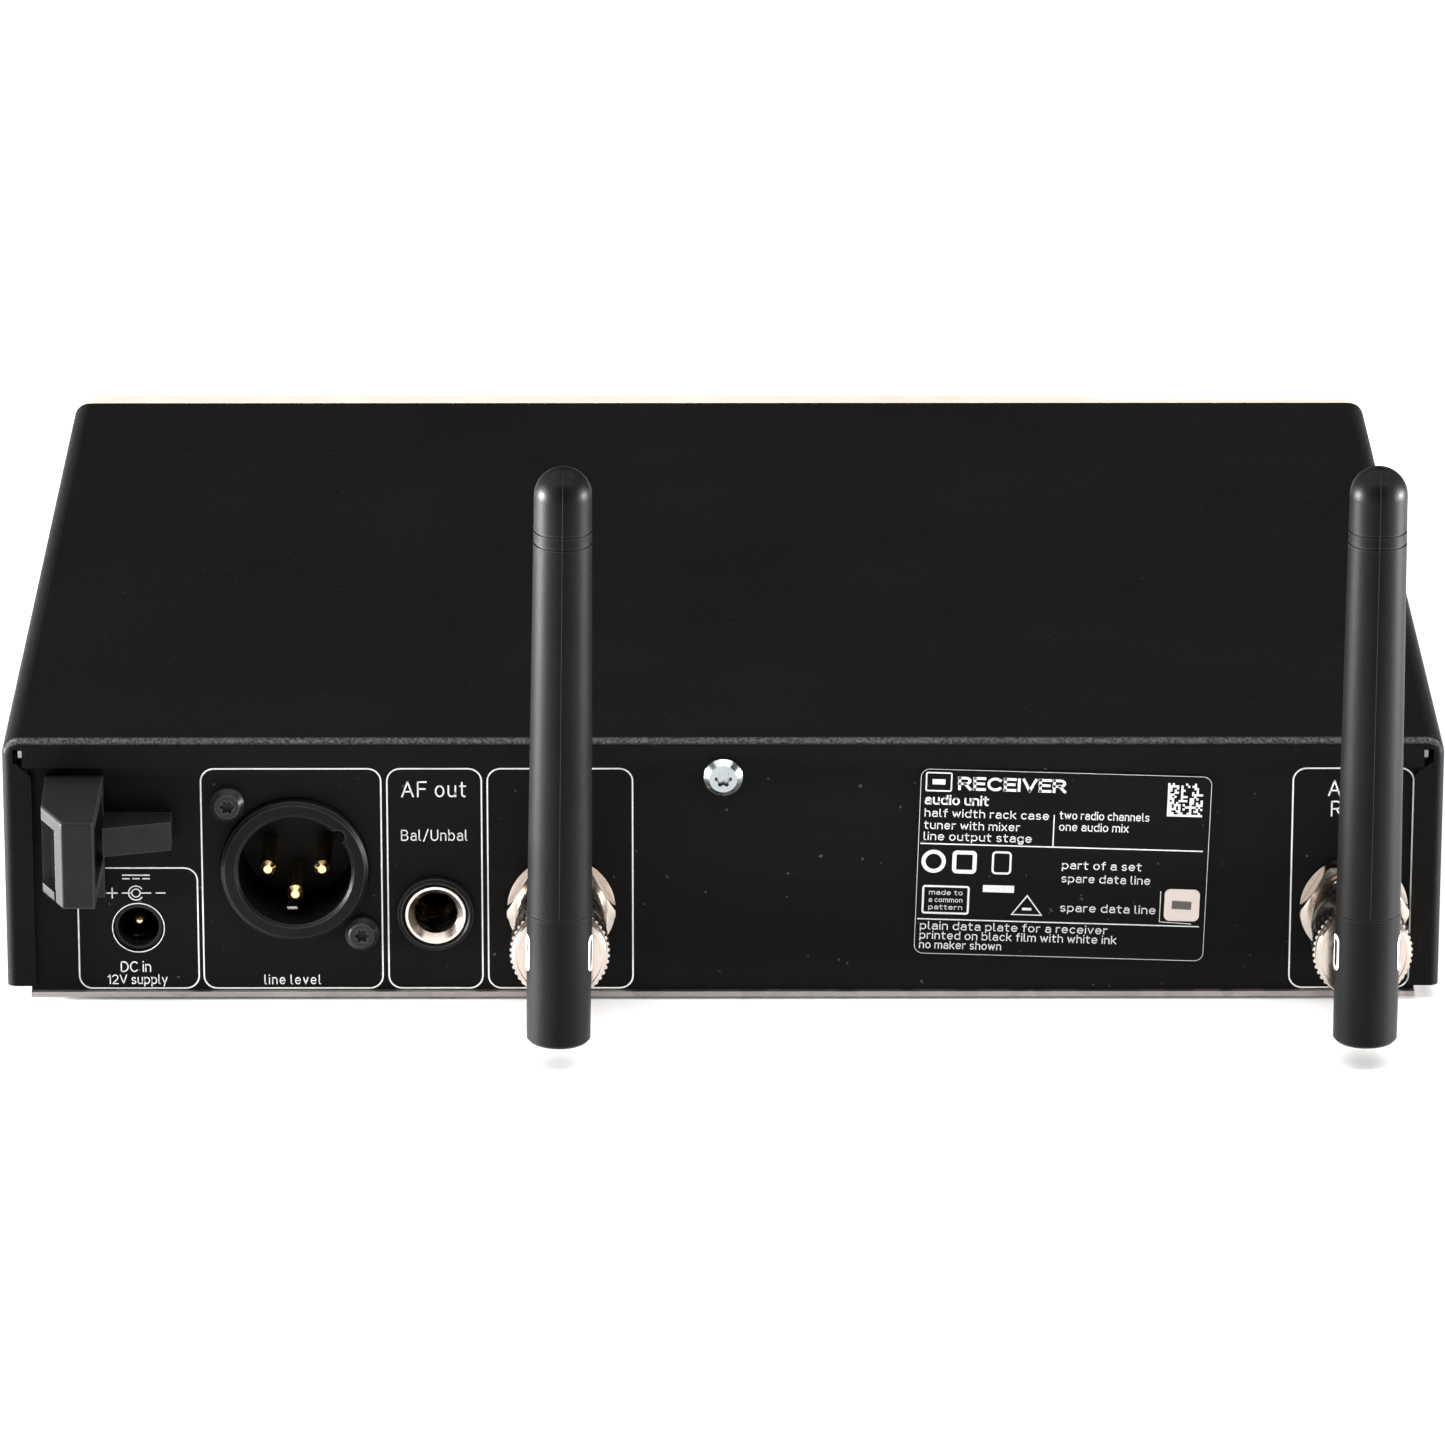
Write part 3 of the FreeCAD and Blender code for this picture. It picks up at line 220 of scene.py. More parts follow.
def print_ink():
    """Screen-printed white ink: slightly uneven cover."""
    mat, tree, bsdf = shader("print_ink_white", (0.78, 0.79, 0.77), 0.6)
    at = place_coords(tree)
    thin = noise(tree, at, 5.0, 2.0)
    tree.links.new(tint(tree, ramp(tree, thin, 0, 1), (0.66, 0.67, 0.66), (0.86, 0.87, 0.85)),
                   bsdf.inputs["Base Color"])
    return mat


def laminate():
    """Solder mask over tracks: green with thin lighter traces between blocks of two close shades."""
    mat, tree, bsdf = shader("board_laminate", (0.01, 0.09, 0.045), 0.35)
    at = place_coords(tree)
    tracks = tree.nodes.new("ShaderNodeTexBrick")
    tracks.inputs["Scale"].default_value = 0.22
    tracks.inputs["Mortar Size"].default_value = 0.06
    tracks.inputs["Color1"].default_value = (0.010, 0.085, 0.040, 1)
    tracks.inputs["Color2"].default_value = (0.012, 0.100, 0.050, 1)
    tracks.inputs["Mortar"].default_value = (0.03, 0.17, 0.08, 1)
    tree.links.new(at, tracks.inputs["Vector"])
    tree.links.new(tracks.outputs["Color"], bsdf.inputs["Base Color"])
    bump(tree, bsdf, noise(tree, at, 3.0, 2.0), 0.1, 0.00003)
    return mat


def smoked_pane():
    mat, tree, bsdf = shader("smoked_pane", (0.42, 0.43, 0.45), 0.05)
    bsdf.inputs["Transmission Weight"].default_value = 0.94
    at = place_coords(tree)
    tree.links.new(ramp(tree, noise(tree, at, 0.3, 3.0), 0.04, 0.10), bsdf.inputs["Roughness"])
    return mat


def display_face():
    mat, tree, bsdf = shader("display_face", (0.004, 0.005, 0.007), 0.2, specular=0.2)
    at = place_coords(tree)
    rows = noise(tree, at, 2.0, 1.0)
    tree.links.new(tint(tree, ramp(tree, rows, 0, 1), (0.003, 0.004, 0.006), (0.005, 0.007, 0.010)),
                   bsdf.inputs["Base Color"])
    return mat


coat = powder_coat()
film_skin = satin_film()
zinc_sheet = galvanised()
nickel = plated("nickel_plate", (0.52, 0.455, 0.40), 0.10, 0.22)
nickel_brushed = plated("nickel_turned", (0.68, 0.61, 0.55), 0.18, 0.32)
gold = plated("gold_plate", (1.0, 0.72, 0.33), 0.12, 0.25)
copper = plated("copper_wire", (0.85, 0.45, 0.27), 0.2, 0.35)
bright_zinc = plated("bright_zinc", (0.37, 0.395, 0.405), 0.18, 0.34)
tin = plated("tin_plate", (0.75, 0.74, 0.71), 0.25, 0.42)
foil = plated("seal_foil", (0.66, 0.58, 0.54), 0.40, 0.55)
aerial_skin = moulded("aerial_elastomer", (0.0034, 0.0034, 0.0036), (0.0046, 0.0045, 0.0045), 0.36, 0.44,
                      4.0, 0.00004, 0.4, edge_highlight_paint=(0.03, 0.03, 0.03), shine=0.08)
black_moulding = moulded("black_moulding", (0.0085, 0.0080, 0.0076), (0.0125, 0.0120, 0.0112), 0.44, 0.58,
                         3.0, 0.00005, 0.45)
die_cast = moulded("black_die_cast", (0.0045, 0.0045, 0.0047), (0.0065, 0.0065, 0.0068), 0.36, 0.50,
                   5.0, 0.00004, 0.3, edge_highlight_paint=(0.10, 0.10, 0.10), shine=0.08)
black_oxide = moulded("black_oxide_steel", (0.012, 0.012, 0.012), (0.02, 0.02, 0.02), 0.28, 0.42,
                      4.0, 0.00003, 0.3, edge_highlight_paint=(0.16, 0.16, 0.16))
# Painted reflection: the bezel frame's warm light grey stands in for the white surroundings it mirrors at a
# grazing angle; the part itself is dark anthracite.
reflection_bezel_skin = moulded("bezel_painted_reflection", (0.76, 0.635, 0.545), (0.82, 0.70, 0.61), 0.42, 0.52, 3.0, 0.00003, 0.25,
                     edge_highlight_paint=(0.82, 0.73, 0.66))
fascia_skin = moulded("anthracite_fascia", (0.018, 0.019, 0.021), (0.026, 0.027, 0.030), 0.46, 0.60, 3.0,
                      0.00005, 0.4)
key_skin = moulded("soft_key", (0.022, 0.022, 0.024), (0.032, 0.032, 0.034), 0.50, 0.62, 4.0, 0.00003, 0.3)
power_skin = moulded("power_key", (0.13, 0.128, 0.125), (0.16, 0.158, 0.154), 0.46, 0.58, 4.0, 0.00003, 0.3)
epoxy = moulded("chip_epoxy", (0.012, 0.012, 0.013), (0.02, 0.02, 0.021), 0.42, 0.55, 5.0, 0.00004, 0.3)
ptfe = moulded("ptfe_white", (0.70, 0.70, 0.67), (0.80, 0.80, 0.77), 0.40, 0.50, 2.0, 0.00002, 0.2,
               edge_highlight_paint=(0.85, 0.85, 0.82))
ribbon_skin = moulded("ribbon_grey", (0.30, 0.30, 0.31), (0.38, 0.38, 0.39), 0.45, 0.55, 1.0, 0.00004, 0.3,
                      edge_highlight_paint=(0.5, 0.5, 0.5))
lens_skin = moulded("frosted_lens", (0.42, 0.46, 0.48), (0.55, 0.58, 0.60), 0.25, 0.4, 3.0, 0.00002, 0.2,
                    edge_highlight_paint=(0.7, 0.7, 0.7))
ink = print_ink()

FINISH = {
    "top_cover": coat, "chassis_tray": zinc_sheet, "rear_overlay": film_skin, "type_plate": film_skin,
    "security_sticker": foil, "cover_screw": bright_zinc, "front_bezel": reflection_bezel_skin,
    "front_fascia": fascia_skin, "display_window": smoked_pane(), "display_module": display_face(),
    "front_board": laminate(), "tact_switches": epoxy, "power_button": power_skin, "sync_button": key_skin,
    "up_button": key_skin, "down_button": key_skin, "set_button": key_skin, "escape_button": key_skin,
    "status_light_pipes": lens_skin, "board_standoffs": bright_zinc, "board_screws": bright_zinc,
    "radio_shields": tin, "board_chips": epoxy, "board_capacitors": tin, "ribbon_cable": ribbon_skin,
    "bracket_bosses": bright_zinc, "power_socket_body": black_moulding, "power_socket_pin": gold,
    "power_socket_spring": nickel, "xlr_shell": die_cast, "xlr_insert": black_moulding, "xlr_pins": gold,
    "xlr_ground_contact": nickel_brushed, "xlr_screws": black_oxide, "audio_jack_bushing": nickel_brushed,
    "audio_jack_ring": die_cast, "audio_jack_housing": black_moulding, "audio_jack_contacts": gold,
    "cable_holder": black_moulding, "antenna_socket_bodies": nickel, "antenna_socket_insulators": ptfe,
    "antenna_socket_contacts": gold, "antenna_socket_nuts": nickel, "antenna_socket_washers": nickel,
}
FINISH["main_board"] = FINISH["front_board"]
for tag in "ab":
    FINISH["antenna_%s_coupling" % tag] = nickel
    FINISH["antenna_%s_plug" % tag] = nickel
    FINISH["antenna_%s_insulator" % tag] = ptfe
    FINISH["antenna_%s_pin" % tag] = gold
    FINISH["antenna_%s_sleeve" % tag] = aerial_skin
    FINISH["antenna_%s_rod" % tag] = aerial_skin
    FINISH["antenna_%s_radiator" % tag] = copper
for name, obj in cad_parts.items():
    if not obj.material_slots:
        obj.data.materials.append(FINISH[name])
    for material_slot in obj.material_slots:
        material_slot.material = FINISH[name]


# ------------------------------------------------------------------ printed work
def skin(count, sides, closed):
    """Faces over a loop of points, sides to the loop, that is carried through count places: four
    corners each, and a cap on both ends where the path doesn't close."""
    i = np.arange(count if closed else count - 1)[:, None]
    j = np.arange(sides)[None, :]
    ahead, beside = (i + 1) % count * sides, (j + 1) % sides
    corners = np.broadcast_arrays(i * sides + j, i * sides + beside, ahead + beside, ahead + j)
    faces = np.stack(corners, -1).reshape(-1, 4).tolist()
    if not closed:
        last = (count - 1) * sides
        faces += [list(range(sides))[::-1], list(range(last, last + sides))]
    return faces


def unit(rows):
    return rows / np.linalg.norm(rows, axis=1)[:, None]


def band(path, width, base, thick, closed):
    """A flat line of ink: a path (x, z) in millimetres widened by half the width along its
    normals, given a thickness in y, as a four-sided loop carried along the path."""
    path = np.asarray(path, float)
    ahead = np.roll(path, -1, 0) - path
    behind = path - np.roll(path, 1, 0)
    if not closed:
        ahead[-1] = behind[-1]
        behind[0] = ahead[0]
    along = unit(ahead) + unit(behind)
    along = unit(along)
    side = np.stack([along[:, 1], -along[:, 0]], 1) * width / 2
    left, right = path + side, path - side
    low = np.full(len(path), base / MM)
    high = low + thick
    edges = ((left, low), (left, high), (right, high), (right, low))
    loop = np.stack([np.stack([edge[:, 0], y, edge[:, 1]], 1) for edge, y in edges], 1)
    return loop.reshape(-1, 3) * MM, skin(len(path), 4, closed)


def slab(x0, x1, z0, z1, base, thick):
    """A small filled block of ink: a straight band as wide as the block is tall."""
    middle = (z0 + z1) / 2
    return band([(x0, middle), (x1, middle)], abs(z1 - z0), base, thick, False)


def rounded(x0, x1, z0, z1, radius, steps=8):
    """A rounded rectangle: four quarter circles joined by straight runs."""
    turn = np.linspace(0, math.pi / 2, steps)
    arc = np.stack([np.cos(turn), np.sin(turn)], 1) * radius
    quarter = np.array([[[1, 0], [0, 1]], [[0, -1], [1, 0]], [[-1, 0], [0, -1]], [[0, 1], [-1, 0]]])
    centres = np.array([[x1 - radius, z1 - radius], [x0 + radius, z1 - radius], [x0 + radius, z0 + radius],
                        [x1 - radius, z0 + radius]])
    return np.concatenate([arc @ q.T + c for q, c in zip(quarter, centres)])


def circle(x, z, radius, start=0.0, end=360.0, steps=40):
    turn = np.radians(np.linspace(start, end, steps, endpoint=end - start < 360))
    return np.stack([x + radius * np.cos(turn), z + radius * np.sin(turn)], 1)


def piece(name, parts, material, body):
    """Joins worked-out surfaces into one mesh piece that rides on a body."""
    verts, faces, start = [], [], 0
    for points, quads in parts:
        verts.append(points)
        faces += [[start + k for k in face] for face in quads]
        start += len(points)
    mesh = bpy.data.meshes.new(name)
    mesh.from_pydata(np.concatenate(verts).tolist(), [], faces)
    mesh.validate()
    mesh.materials.append(material)
    obj = bpy.data.objects.new(name, mesh)
    bpy.context.collection.objects.link(obj)
    face_out(obj)
    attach(obj, body)
    return obj


def face_out(obj):
    """Turns a closed mesh's faces so that they all look outward."""
    work = bmesh.new()
    work.from_mesh(obj.data)
    bmesh.ops.recalc_face_normals(work, faces=work.faces)
    work.to_mesh(obj.data)
    work.free()


def arc(x, y, rx, ry, start, end, steps=14):
    """Points along an ellipse from one angle to another, in degrees."""
    turn = np.radians(np.linspace(start, end, steps))
    return np.stack([x + rx * np.cos(turn), y + ry * np.sin(turn)], 1).tolist()


# Each letter is a list of pen strokes on a grid where capitals are 1 tall, and its width.
BOWL = arc(0.26, 0.36, 0.26, 0.36, 90, 450, 26)
PEN = {
    "A": ([[(0, 0), (0.36, 1), (0.72, 0)], [(0.12, 0.33), (0.6, 0.33)]], 0.72),
    "B": ([[(0, 0), (0, 1), (0.3, 1)] + arc(0.3, 0.76, 0.25, 0.24, 90, -90) + [(0, 0.52)],
           [(0.3, 0.52)] + arc(0.32, 0.26, 0.28, 0.26, 90, -90) + [(0, 0)]], 0.6),
    "C": ([arc(0.38, 0.5, 0.38, 0.5, 48, 312, 24)], 0.68),
    "D": ([[(0, 0), (0, 1), (0.25, 1)] + arc(0.25, 0.5, 0.42, 0.5, 90, -90, 20) + [(0, 0)]], 0.67),
    "E": ([[(0.52, 0), (0, 0), (0, 1), (0.52, 1)], [(0, 0.52), (0.46, 0.52)]], 0.52),
    "F": ([[(0, 0), (0, 1), (0.54, 1)], [(0, 0.52), (0.47, 0.52)]], 0.54),
    "I": ([[(0, 0), (0, 1)]], 0.0),
    "N": ([[(0, 0), (0, 1), (0.62, 0), (0.62, 1)]], 0.62),
    "R": ([[(0, 0), (0, 1), (0.32, 1)] + arc(0.32, 0.74, 0.26, 0.26, 90, -90) + [(0, 0.48)],
           [(0.3, 0.48), (0.6, 0)]], 0.6),
    "T": ([[(0, 1), (0.62, 1)], [(0.31, 1), (0.31, 0)]], 0.62),
    "U": ([[(0, 1), (0, 0.32)] + arc(0.31, 0.31, 0.31, 0.31, 180, 360) + [(0.62, 1)]], 0.62),
    "V": ([[(0, 1), (0.34, 0), (0.68, 1)]], 0.68),
    "1": ([[(0, 0.78), (0.24, 1), (0.24, 0)]], 0.26),
    "2": ([arc(0.28, 0.71, 0.28, 0.29, 160, -36) + [(0, 0)], [(0, 0), (0.58, 0)]], 0.58),
    "/": ([[(0, -0.1), (0.42, 1.08)]], 0.42),
    "a": ([arc(0.25, 0.49, 0.22, 0.23, 150, 0) + [(0.47, 0)],
           [(0.47, 0.42), (0.22, 0.42)] + arc(0.2, 0.21, 0.2, 0.21, 90, 270) + [(0.3, 0.01), (0.47, 0.12)]],
          0.47),
    "b": ([[(0, 1.02), (0, 0)], BOWL], 0.52),
    "c": ([arc(0.26, 0.36, 0.25, 0.36, 48, 312, 20)], 0.46),
    "d": ([[(0.52, 1.02), (0.52, 0)], BOWL], 0.52),
    "e": ([[(0.02, 0.37), (0.52, 0.37)], arc(0.26, 0.36, 0.26, 0.36, 0, 318, 24)], 0.52),
    "f": ([[(0.12, 0), (0.12, 0.84)] + arc(0.28, 0.86, 0.16, 0.16, 180, 90, 6),
           [(0, 0.71), (0.3, 0.71)]], 0.3),
    "g": ([[(0.52, 0.72), (0.52, -0.04)] + arc(0.27, -0.06, 0.25, 0.21, 0, -150), BOWL], 0.52),
    "h": ([[(0, 1.02), (0, 0)], arc(0.23, 0.48, 0.23, 0.24, 180, 0) + [(0.46, 0)]], 0.46),
    "i": ([[(0, 0), (0, 0.7)], [(0, 0.98), (0, 1.03)]], 0.0),
    "k": ([[(0, 1.02), (0, 0)], [(0.44, 0.72), (0.02, 0.3)], [(0.14, 0.42), (0.46, 0)]], 0.46),
    "l": ([[(0, 1.02), (0, 0.12)] + arc(0.13, 0.13, 0.13, 0.13, 180, 270, 6)], 0.13),
    "m": ([[(0, 0), (0, 0.72)], arc(0.2, 0.5, 0.2, 0.22, 180, 0) + [(0.4, 0)],
           arc(0.6, 0.5, 0.2, 0.22, 180, 0) + [(0.8, 0)]], 0.8),
    "n": ([[(0, 0), (0, 0.72)], arc(0.23, 0.48, 0.23, 0.24, 180, 0) + [(0.46, 0)]], 0.46),
    "o": ([BOWL], 0.52),
    "p": ([[(0, 0.72), (0, -0.28)], BOWL], 0.52),
    "r": ([[(0, 0), (0, 0.72)], arc(0.25, 0.46, 0.25, 0.25, 180, 80, 8)], 0.3),
    "s": ([arc(0.21, 0.53, 0.19, 0.18, 35, 270) + arc(0.21, 0.18, 0.2, 0.18, 90, -145)], 0.42),
    "t": ([[(0.12, 0.95), (0.12, 0.16)] + arc(0.28, 0.16, 0.16, 0.16, 180, 280, 6),
           [(0, 0.71), (0.34, 0.71)]], 0.36),
    "u": ([[(0, 0.72), (0, 0.25)] + arc(0.23, 0.25, 0.23, 0.25, 180, 360),
           [(0.46, 0.72), (0.46, 0)]], 0.46),
    "v": ([[(0, 0.72), (0.24, 0), (0.48, 0.72)]], 0.48),
    "w": ([[(0, 0.72), (0.18, 0), (0.36, 0.66), (0.54, 0), (0.72, 0.72)]], 0.72),
    "x": ([[(0, 0), (0.46, 0.72)], [(0, 0.72), (0.46, 0)]], 0.46),
    "y": ([[(0, 0.72), (0.25, 0.04)], [(0.5, 0.72), (0.17, -0.28)]], 0.5),
}


def smooth_runs(path):
    """Cuts a stroke at its sharp corners, so that each run bends gently."""
    path = [np.array(p, float) for p in path]
    path = [p for n, p in enumerate(path) if n == 0 or np.linalg.norm(p - path[n - 1]) > 1e-6]
    runs, start = [], 0
    for n in range(1, len(path) - 1):
        before, after = path[n] - path[n - 1], path[n + 1] - path[n]
        if before @ after < 0.85 * np.linalg.norm(before) * np.linalg.norm(after):
            runs.append(path[start:n + 1])
            start = n
    return runs + [path[start:]]


def pen_runs(text, pen, gap):
    """The pen's runs for a line of letters, where capitals are 1 tall, and the line's width."""
    wide, runs = 0.0, []
    for letter in text:
        if letter == " ":
            wide += 0.32
            continue
        strokes, width = PEN[letter]
        for stroke in strokes:
            for run in smooth_runs(stroke):
                run = np.array(run)
                run[0] -= (run[1] - run[0]) / np.linalg.norm(run[1] - run[0]) * pen * 0.45
                run[-1] += (run[-1] - run[-2]) / np.linalg.norm(run[-1] - run[-2]) * pen * 0.45
                runs.append(run + [wide, 0])
        wide += width + gap
    return runs, wide - gap


def lettering(text, x, z, height, base, pen=0.13, gap=0.27, flip=-1):
    """A line of pen-drawn letters centred on (x, z) in millimetres. They read from behind the
    unit, or from in front of it with flip=1."""
    runs, wide = pen_runs(text, pen, gap)
    return [band(np.stack([x + flip * (run[:, 0] - wide / 2) * height, z + (run[:, 1] - 0.5) * height], 1),
                 pen * height, base, INK, False) for run in runs]


INK = 0.02                                  # thickness of a printed line, mm
CLEAR = 0.00001                             # what print stands off its surface by, m
ON_FILM = FILM + CLEAR
ON_LABEL = LABEL + CLEAR
outlines = [rounded(77.65, 95.35, 1.05, 20.0, 1.95), rounded(50.4, 76.9, 1.05, 35.5, 1.95),
            rounded(35.6, 49.5, 1.05, 35.5, 1.95), rounded(13.35, 34.73, 1.05, 35.5, 1.95),
            rounded(-101.63, -83.9, 1.05, 35.5, 1.95)]
lines = [band(path, 0.22, ON_FILM, INK, True) for path in outlines]
lines.append(band(circle(86.5, 10.6, 3.84), 0.13, ON_FILM, INK, True))
# Direct-current sign and centre-positive sign.
lines.append(slab(84.65, 88.75, 18.78, 18.98, ON_FILM, INK))
lines += [slab(84.65 + 1.5 * n, 85.75 + 1.5 * n, 18.22, 18.42, ON_FILM, INK) for n in range(3)]
lines += [slab(89.45, 91.1, 15.98, 16.16, ON_FILM, INK), slab(90.18, 90.36, 15.25, 16.9, ON_FILM, INK),
          slab(87.4, 88.85, 15.98, 16.16, ON_FILM, INK), slab(84.5, 86.1, 15.98, 16.16, ON_FILM, INK),
          slab(82.4, 83.85, 15.98, 16.16, ON_FILM, INK)]
lines.append(band(circle(86.75, 16.07, 0.62), 0.17, ON_FILM, INK, True))
lines.append(band(circle(86.75, 16.07, 1.1, -145, 145, 30), 0.17, ON_FILM, INK, False))
piece("rear_print_lines", lines, ink, "receiver")
legends = []
for text, x, z, height, pen, gap in (
        ("DC in", 87.0, 4.45, 1.5, 0.12, 0.25), ("12V supply", 86.8, 2.45, 1.35, 0.12, 0.26),
        ("line level", 63.8, 2.4, 1.35, 0.12, 0.36), ("AF out", 42.6, 32.3, 2.25, 0.105, 0.31),
        ("Bal/Unbal", 42.6, 25.1, 1.55, 0.11, 0.3), ("ANT I", -92.8, 32.4, 2.25, 0.105, 0.31),
        ("RF in", -92.8, 29.2, 2.2, 0.105, 0.31), ("ANT II", 24.0, 32.4, 2.25, 0.105, 0.31),
        ("RF in", 24.0, 29.2, 2.2, 0.105, 0.31), ("12V max", -92.8, 2.4, 1.35, 0.12, 0.3),
        ("12V max", 24.0, 2.4, 1.35, 0.12, 0.3)):
    legends += lettering(text, x, z, height, ON_FILM, pen, gap)
piece("rear_print_words", legends, ink, "receiver")

# ------------------------------------------------------------------ label print
LEAN = math.radians(1.8)
LABEL_X, LABEL_Z = -50.1, 20.4              # its middle, mm
LABEL_WIDTH, LABEL_HEIGHT = 43.2, 29.3


def on_label(points):
    """Label points (right, down) in millimetres from its top left corner, as (x, z), leaned with it."""
    points = np.asarray(points, float)
    px, pz = LABEL_WIDTH / 2 - points[:, 0], LABEL_HEIGHT / 2 - points[:, 1]
    return np.stack([LABEL_X + px * math.cos(LEAN) - pz * math.sin(LEAN),
                     LABEL_Z + px * math.sin(LEAN) + pz * math.cos(LEAN)], 1)


def label_bar(u0, u1, d0, d1):
    middle = (d0 + d1) / 2
    return band(on_label([(u0, middle), (u1, middle)]), d1 - d0, ON_LABEL, INK, False)


def label_path(points, width, closed=False):
    return band(on_label(points), width, ON_LABEL, INK, closed)


def label_line(text, u0, u1, down, height, pen=0.13):
    """A line of generic words on the label, set to run from u0 to u1."""
    runs, wide = pen_runs(text, pen, 0.26)
    across = (u1 - u0) / wide
    paths = [np.stack([u0 + run[:, 0] * across, down - (run[:, 1] - 0.5) * height], 1) for run in runs]
    return [label_path(path, pen * height) for path in paths]


marks = [label_path(rounded(0.2, 43.0, 0.2, 29.1, 1.3), 0.07, True)]
marks += [label_bar(0.5, 42.2, 11.75, 11.93), label_bar(0.5, 42.2, 23.6, 23.78),
          label_bar(19.95, 20.12, 6.8, 11.75)]
marks.append(label_path(rounded(1.0, 4.7, 0.75, 3.55, 0.2), 0.22, True))
marks.append(label_bar(1.9, 3.8, 1.75, 2.55))
marks += label_line("RECEIVER", 5.9, 21.4, 2.3, 1.7, 0.24)
marks += label_line("audio unit", 1.0, 10.2, 4.95, 1.3, 0.2)
for text, u0, u1, down in (
        ("half width rack case", 1.0, 19.2, 7.0), ("tuner with mixer", 1.0, 15.0, 8.9),
        ("line output stage", 1.0, 16.8, 10.65), ("two radio channels", 20.9, 34.0, 6.8),
        ("one audio mix", 20.9, 31.0, 8.6), ("part of a set", 21.6, 33.2, 14.6),
        ("spare data line", 21.6, 34.6, 16.7), ("spare data line", 21.6, 35.6, 21.3),
        ("plain data plate for a receiver", 1.0, 28.6, 24.7),
        ("printed on black film with white ink", 1.0, 30.0, 26.2), ("no maker shown", 1.0, 13.0, 27.7)):
    marks += label_line(text, u0, u1, down, 1.12, 0.14)
marks.append(label_path(circle(2.55, 14.6, 1.5), 0.6, True))
marks.append(label_path(rounded(5.6, 8.6, 13.1, 16.1, 0.4), 0.6, True))
marks.append(label_path(rounded(11.3, 13.9, 12.9, 16.2, 0.5), 0.3, True))
marks += [label_bar(10.0, 14.6, 18.1, 19.2), label_path(rounded(1.2, 7.9, 18.5, 22.7, 0.3), 0.3, True)]
for n, text in enumerate(("made to", "a common", "pattern")):
    marks += label_line(text, 2.1, 7.0, 19.45 + 1.15 * n, 0.66, 0.15)
marks.append(label_path([(14.4, 22.6), (18.8, 22.6), (16.6, 19.6)], 0.34, True))
marks.append(label_bar(15.9, 17.3, 21.5, 21.9))
marks.append(label_path([(36.3, 18.3), (36.3, 23.1), (41.0, 23.3)], 0.12))
# A square of dots in place of a coded mark: random, so it holds no message.
rng = np.random.default_rng(11)
grid = rng.random((16, 16)) > 0.5
grid[:, 0] = True
grid[15, :] = True
grid[0, 1::2] = False
cell = 5.2 / 16
for row, column in zip(*np.nonzero(grid)):
    across, below = 36.6 + column * cell, 1.3 + row * cell
    marks.append(label_bar(across, across + cell, below, below + cell))
piece("label_print", marks, ink, "receiver")
seal_dark = moulded("seal_patch", (0.10, 0.09, 0.088), (0.14, 0.13, 0.125), 0.45, 0.6, 3.0)
patch = [band(on_label([(38.0, 20.3), (40.9, 20.4)]), 1.3, SEAL + CLEAR, INK, False)]
piece("seal_patch", patch, seal_dark, "receiver")


# ------------------------------------------------------------------ front legends and display
lit, lit_tree, lit_bsdf = shader("display_lit", (0.75, 0.85, 0.90), 0.5)
lit_bsdf.inputs["Emission Strength"].default_value = 0.9
lit_tree.links.new(tint(lit_tree, noise(lit_tree, place_coords(lit_tree), 0.4, 1.0), (0.62, 0.74, 0.80),
                        (0.80, 0.90, 0.95)), lit_bsdf.inputs["Emission Color"])
FRONT_CLEAR = 0.00003                       # ink is as thick as 0.00002 m, so it stays off the surface
ON_RIGHT = REAR - 0.1727 - FRONT_CLEAR      # right-hand part of the fascia, which stands further out
ON_LEFT = REAR - 0.1704 - FRONT_CLEAR
ON_BADGE = REAR - 0.1722 - FRONT_CLEAR
ON_DISPLAY = REAR - 0.1692 - FRONT_CLEAR
front = lettering("set", 79, 27.4, 1.7, ON_RIGHT, 0.12, 0.3, 1)
front += lettering("esc", 91, 26.6, 1.7, ON_RIGHT, 0.12, 0.3, 1)
front += lettering("sync", -70, 26.8, 1.7, ON_LEFT, 0.12, 0.3, 1)
for x, z, rise in ((66, 31.3, 1.5), (66, 9.7, -1.5)):
    front += [band(np.array([(x - 1.1, z), (x + 1.1, z)]), 0.2, ON_RIGHT, INK, False),
              band(np.array([(x - 1.1, z), (x, z + rise)]), 0.2, ON_RIGHT, INK, False),
              band(np.array([(x + 1.1, z), (x, z + rise)]), 0.2, ON_RIGHT, INK, False)]
front.append(band(circle(-86, 29.0, 1.35, 125, 415, 30), 0.22, ON_LEFT, INK, False))
front.append(slab(-86.11, -85.89, 29.0, 30.7, ON_LEFT, INK))
front.append(band(rounded(-33.2, -18.8, 19.1, 21.9, 0.5), 0.18, ON_BADGE, INK, True))
piece("front_print", front, ink, "receiver")
shown = lettering("RF", -5.2, 25.6, 2.6, ON_DISPLAY, 0.14, 0.3, 1)
shown += lettering("AF", -5.2, 19.4, 2.6, ON_DISPLAY, 0.14, 0.3, 1)
for row, level in ((25.6, 13), (19.4, 9)):
    shown += [slab(0.5 + 1.9 * n, 1.9 + 1.9 * n, row - 1.2, row + 1.2, ON_DISPLAY, INK) for n in range(level)]
    shown += [slab(0.5 + 1.9 * n, 1.9 + 1.9 * n, row - 1.2, row - 0.95, ON_DISPLAY, INK)
              for n in range(level, 18)]
shown.append(slab(-9.0, 45.0, 15.6, 15.8, ON_DISPLAY, INK))
shown += lettering("ANT I", -3.3, 12.4, 1.9, ON_DISPLAY, 0.14, 0.3, 1)
shown.append(band(rounded(34.0, 42.0, 10.9, 13.9, 0.4), 0.25, ON_DISPLAY, INK, True))
shown.append(slab(42.3, 42.9, 11.8, 13.0, ON_DISPLAY, INK))
shown += [slab(34.7 + 2.3 * n, 36.5 + 2.3 * n, 11.6, 13.2, ON_DISPLAY, INK) for n in range(3)]
piece("display_marks", shown, lit, "receiver")


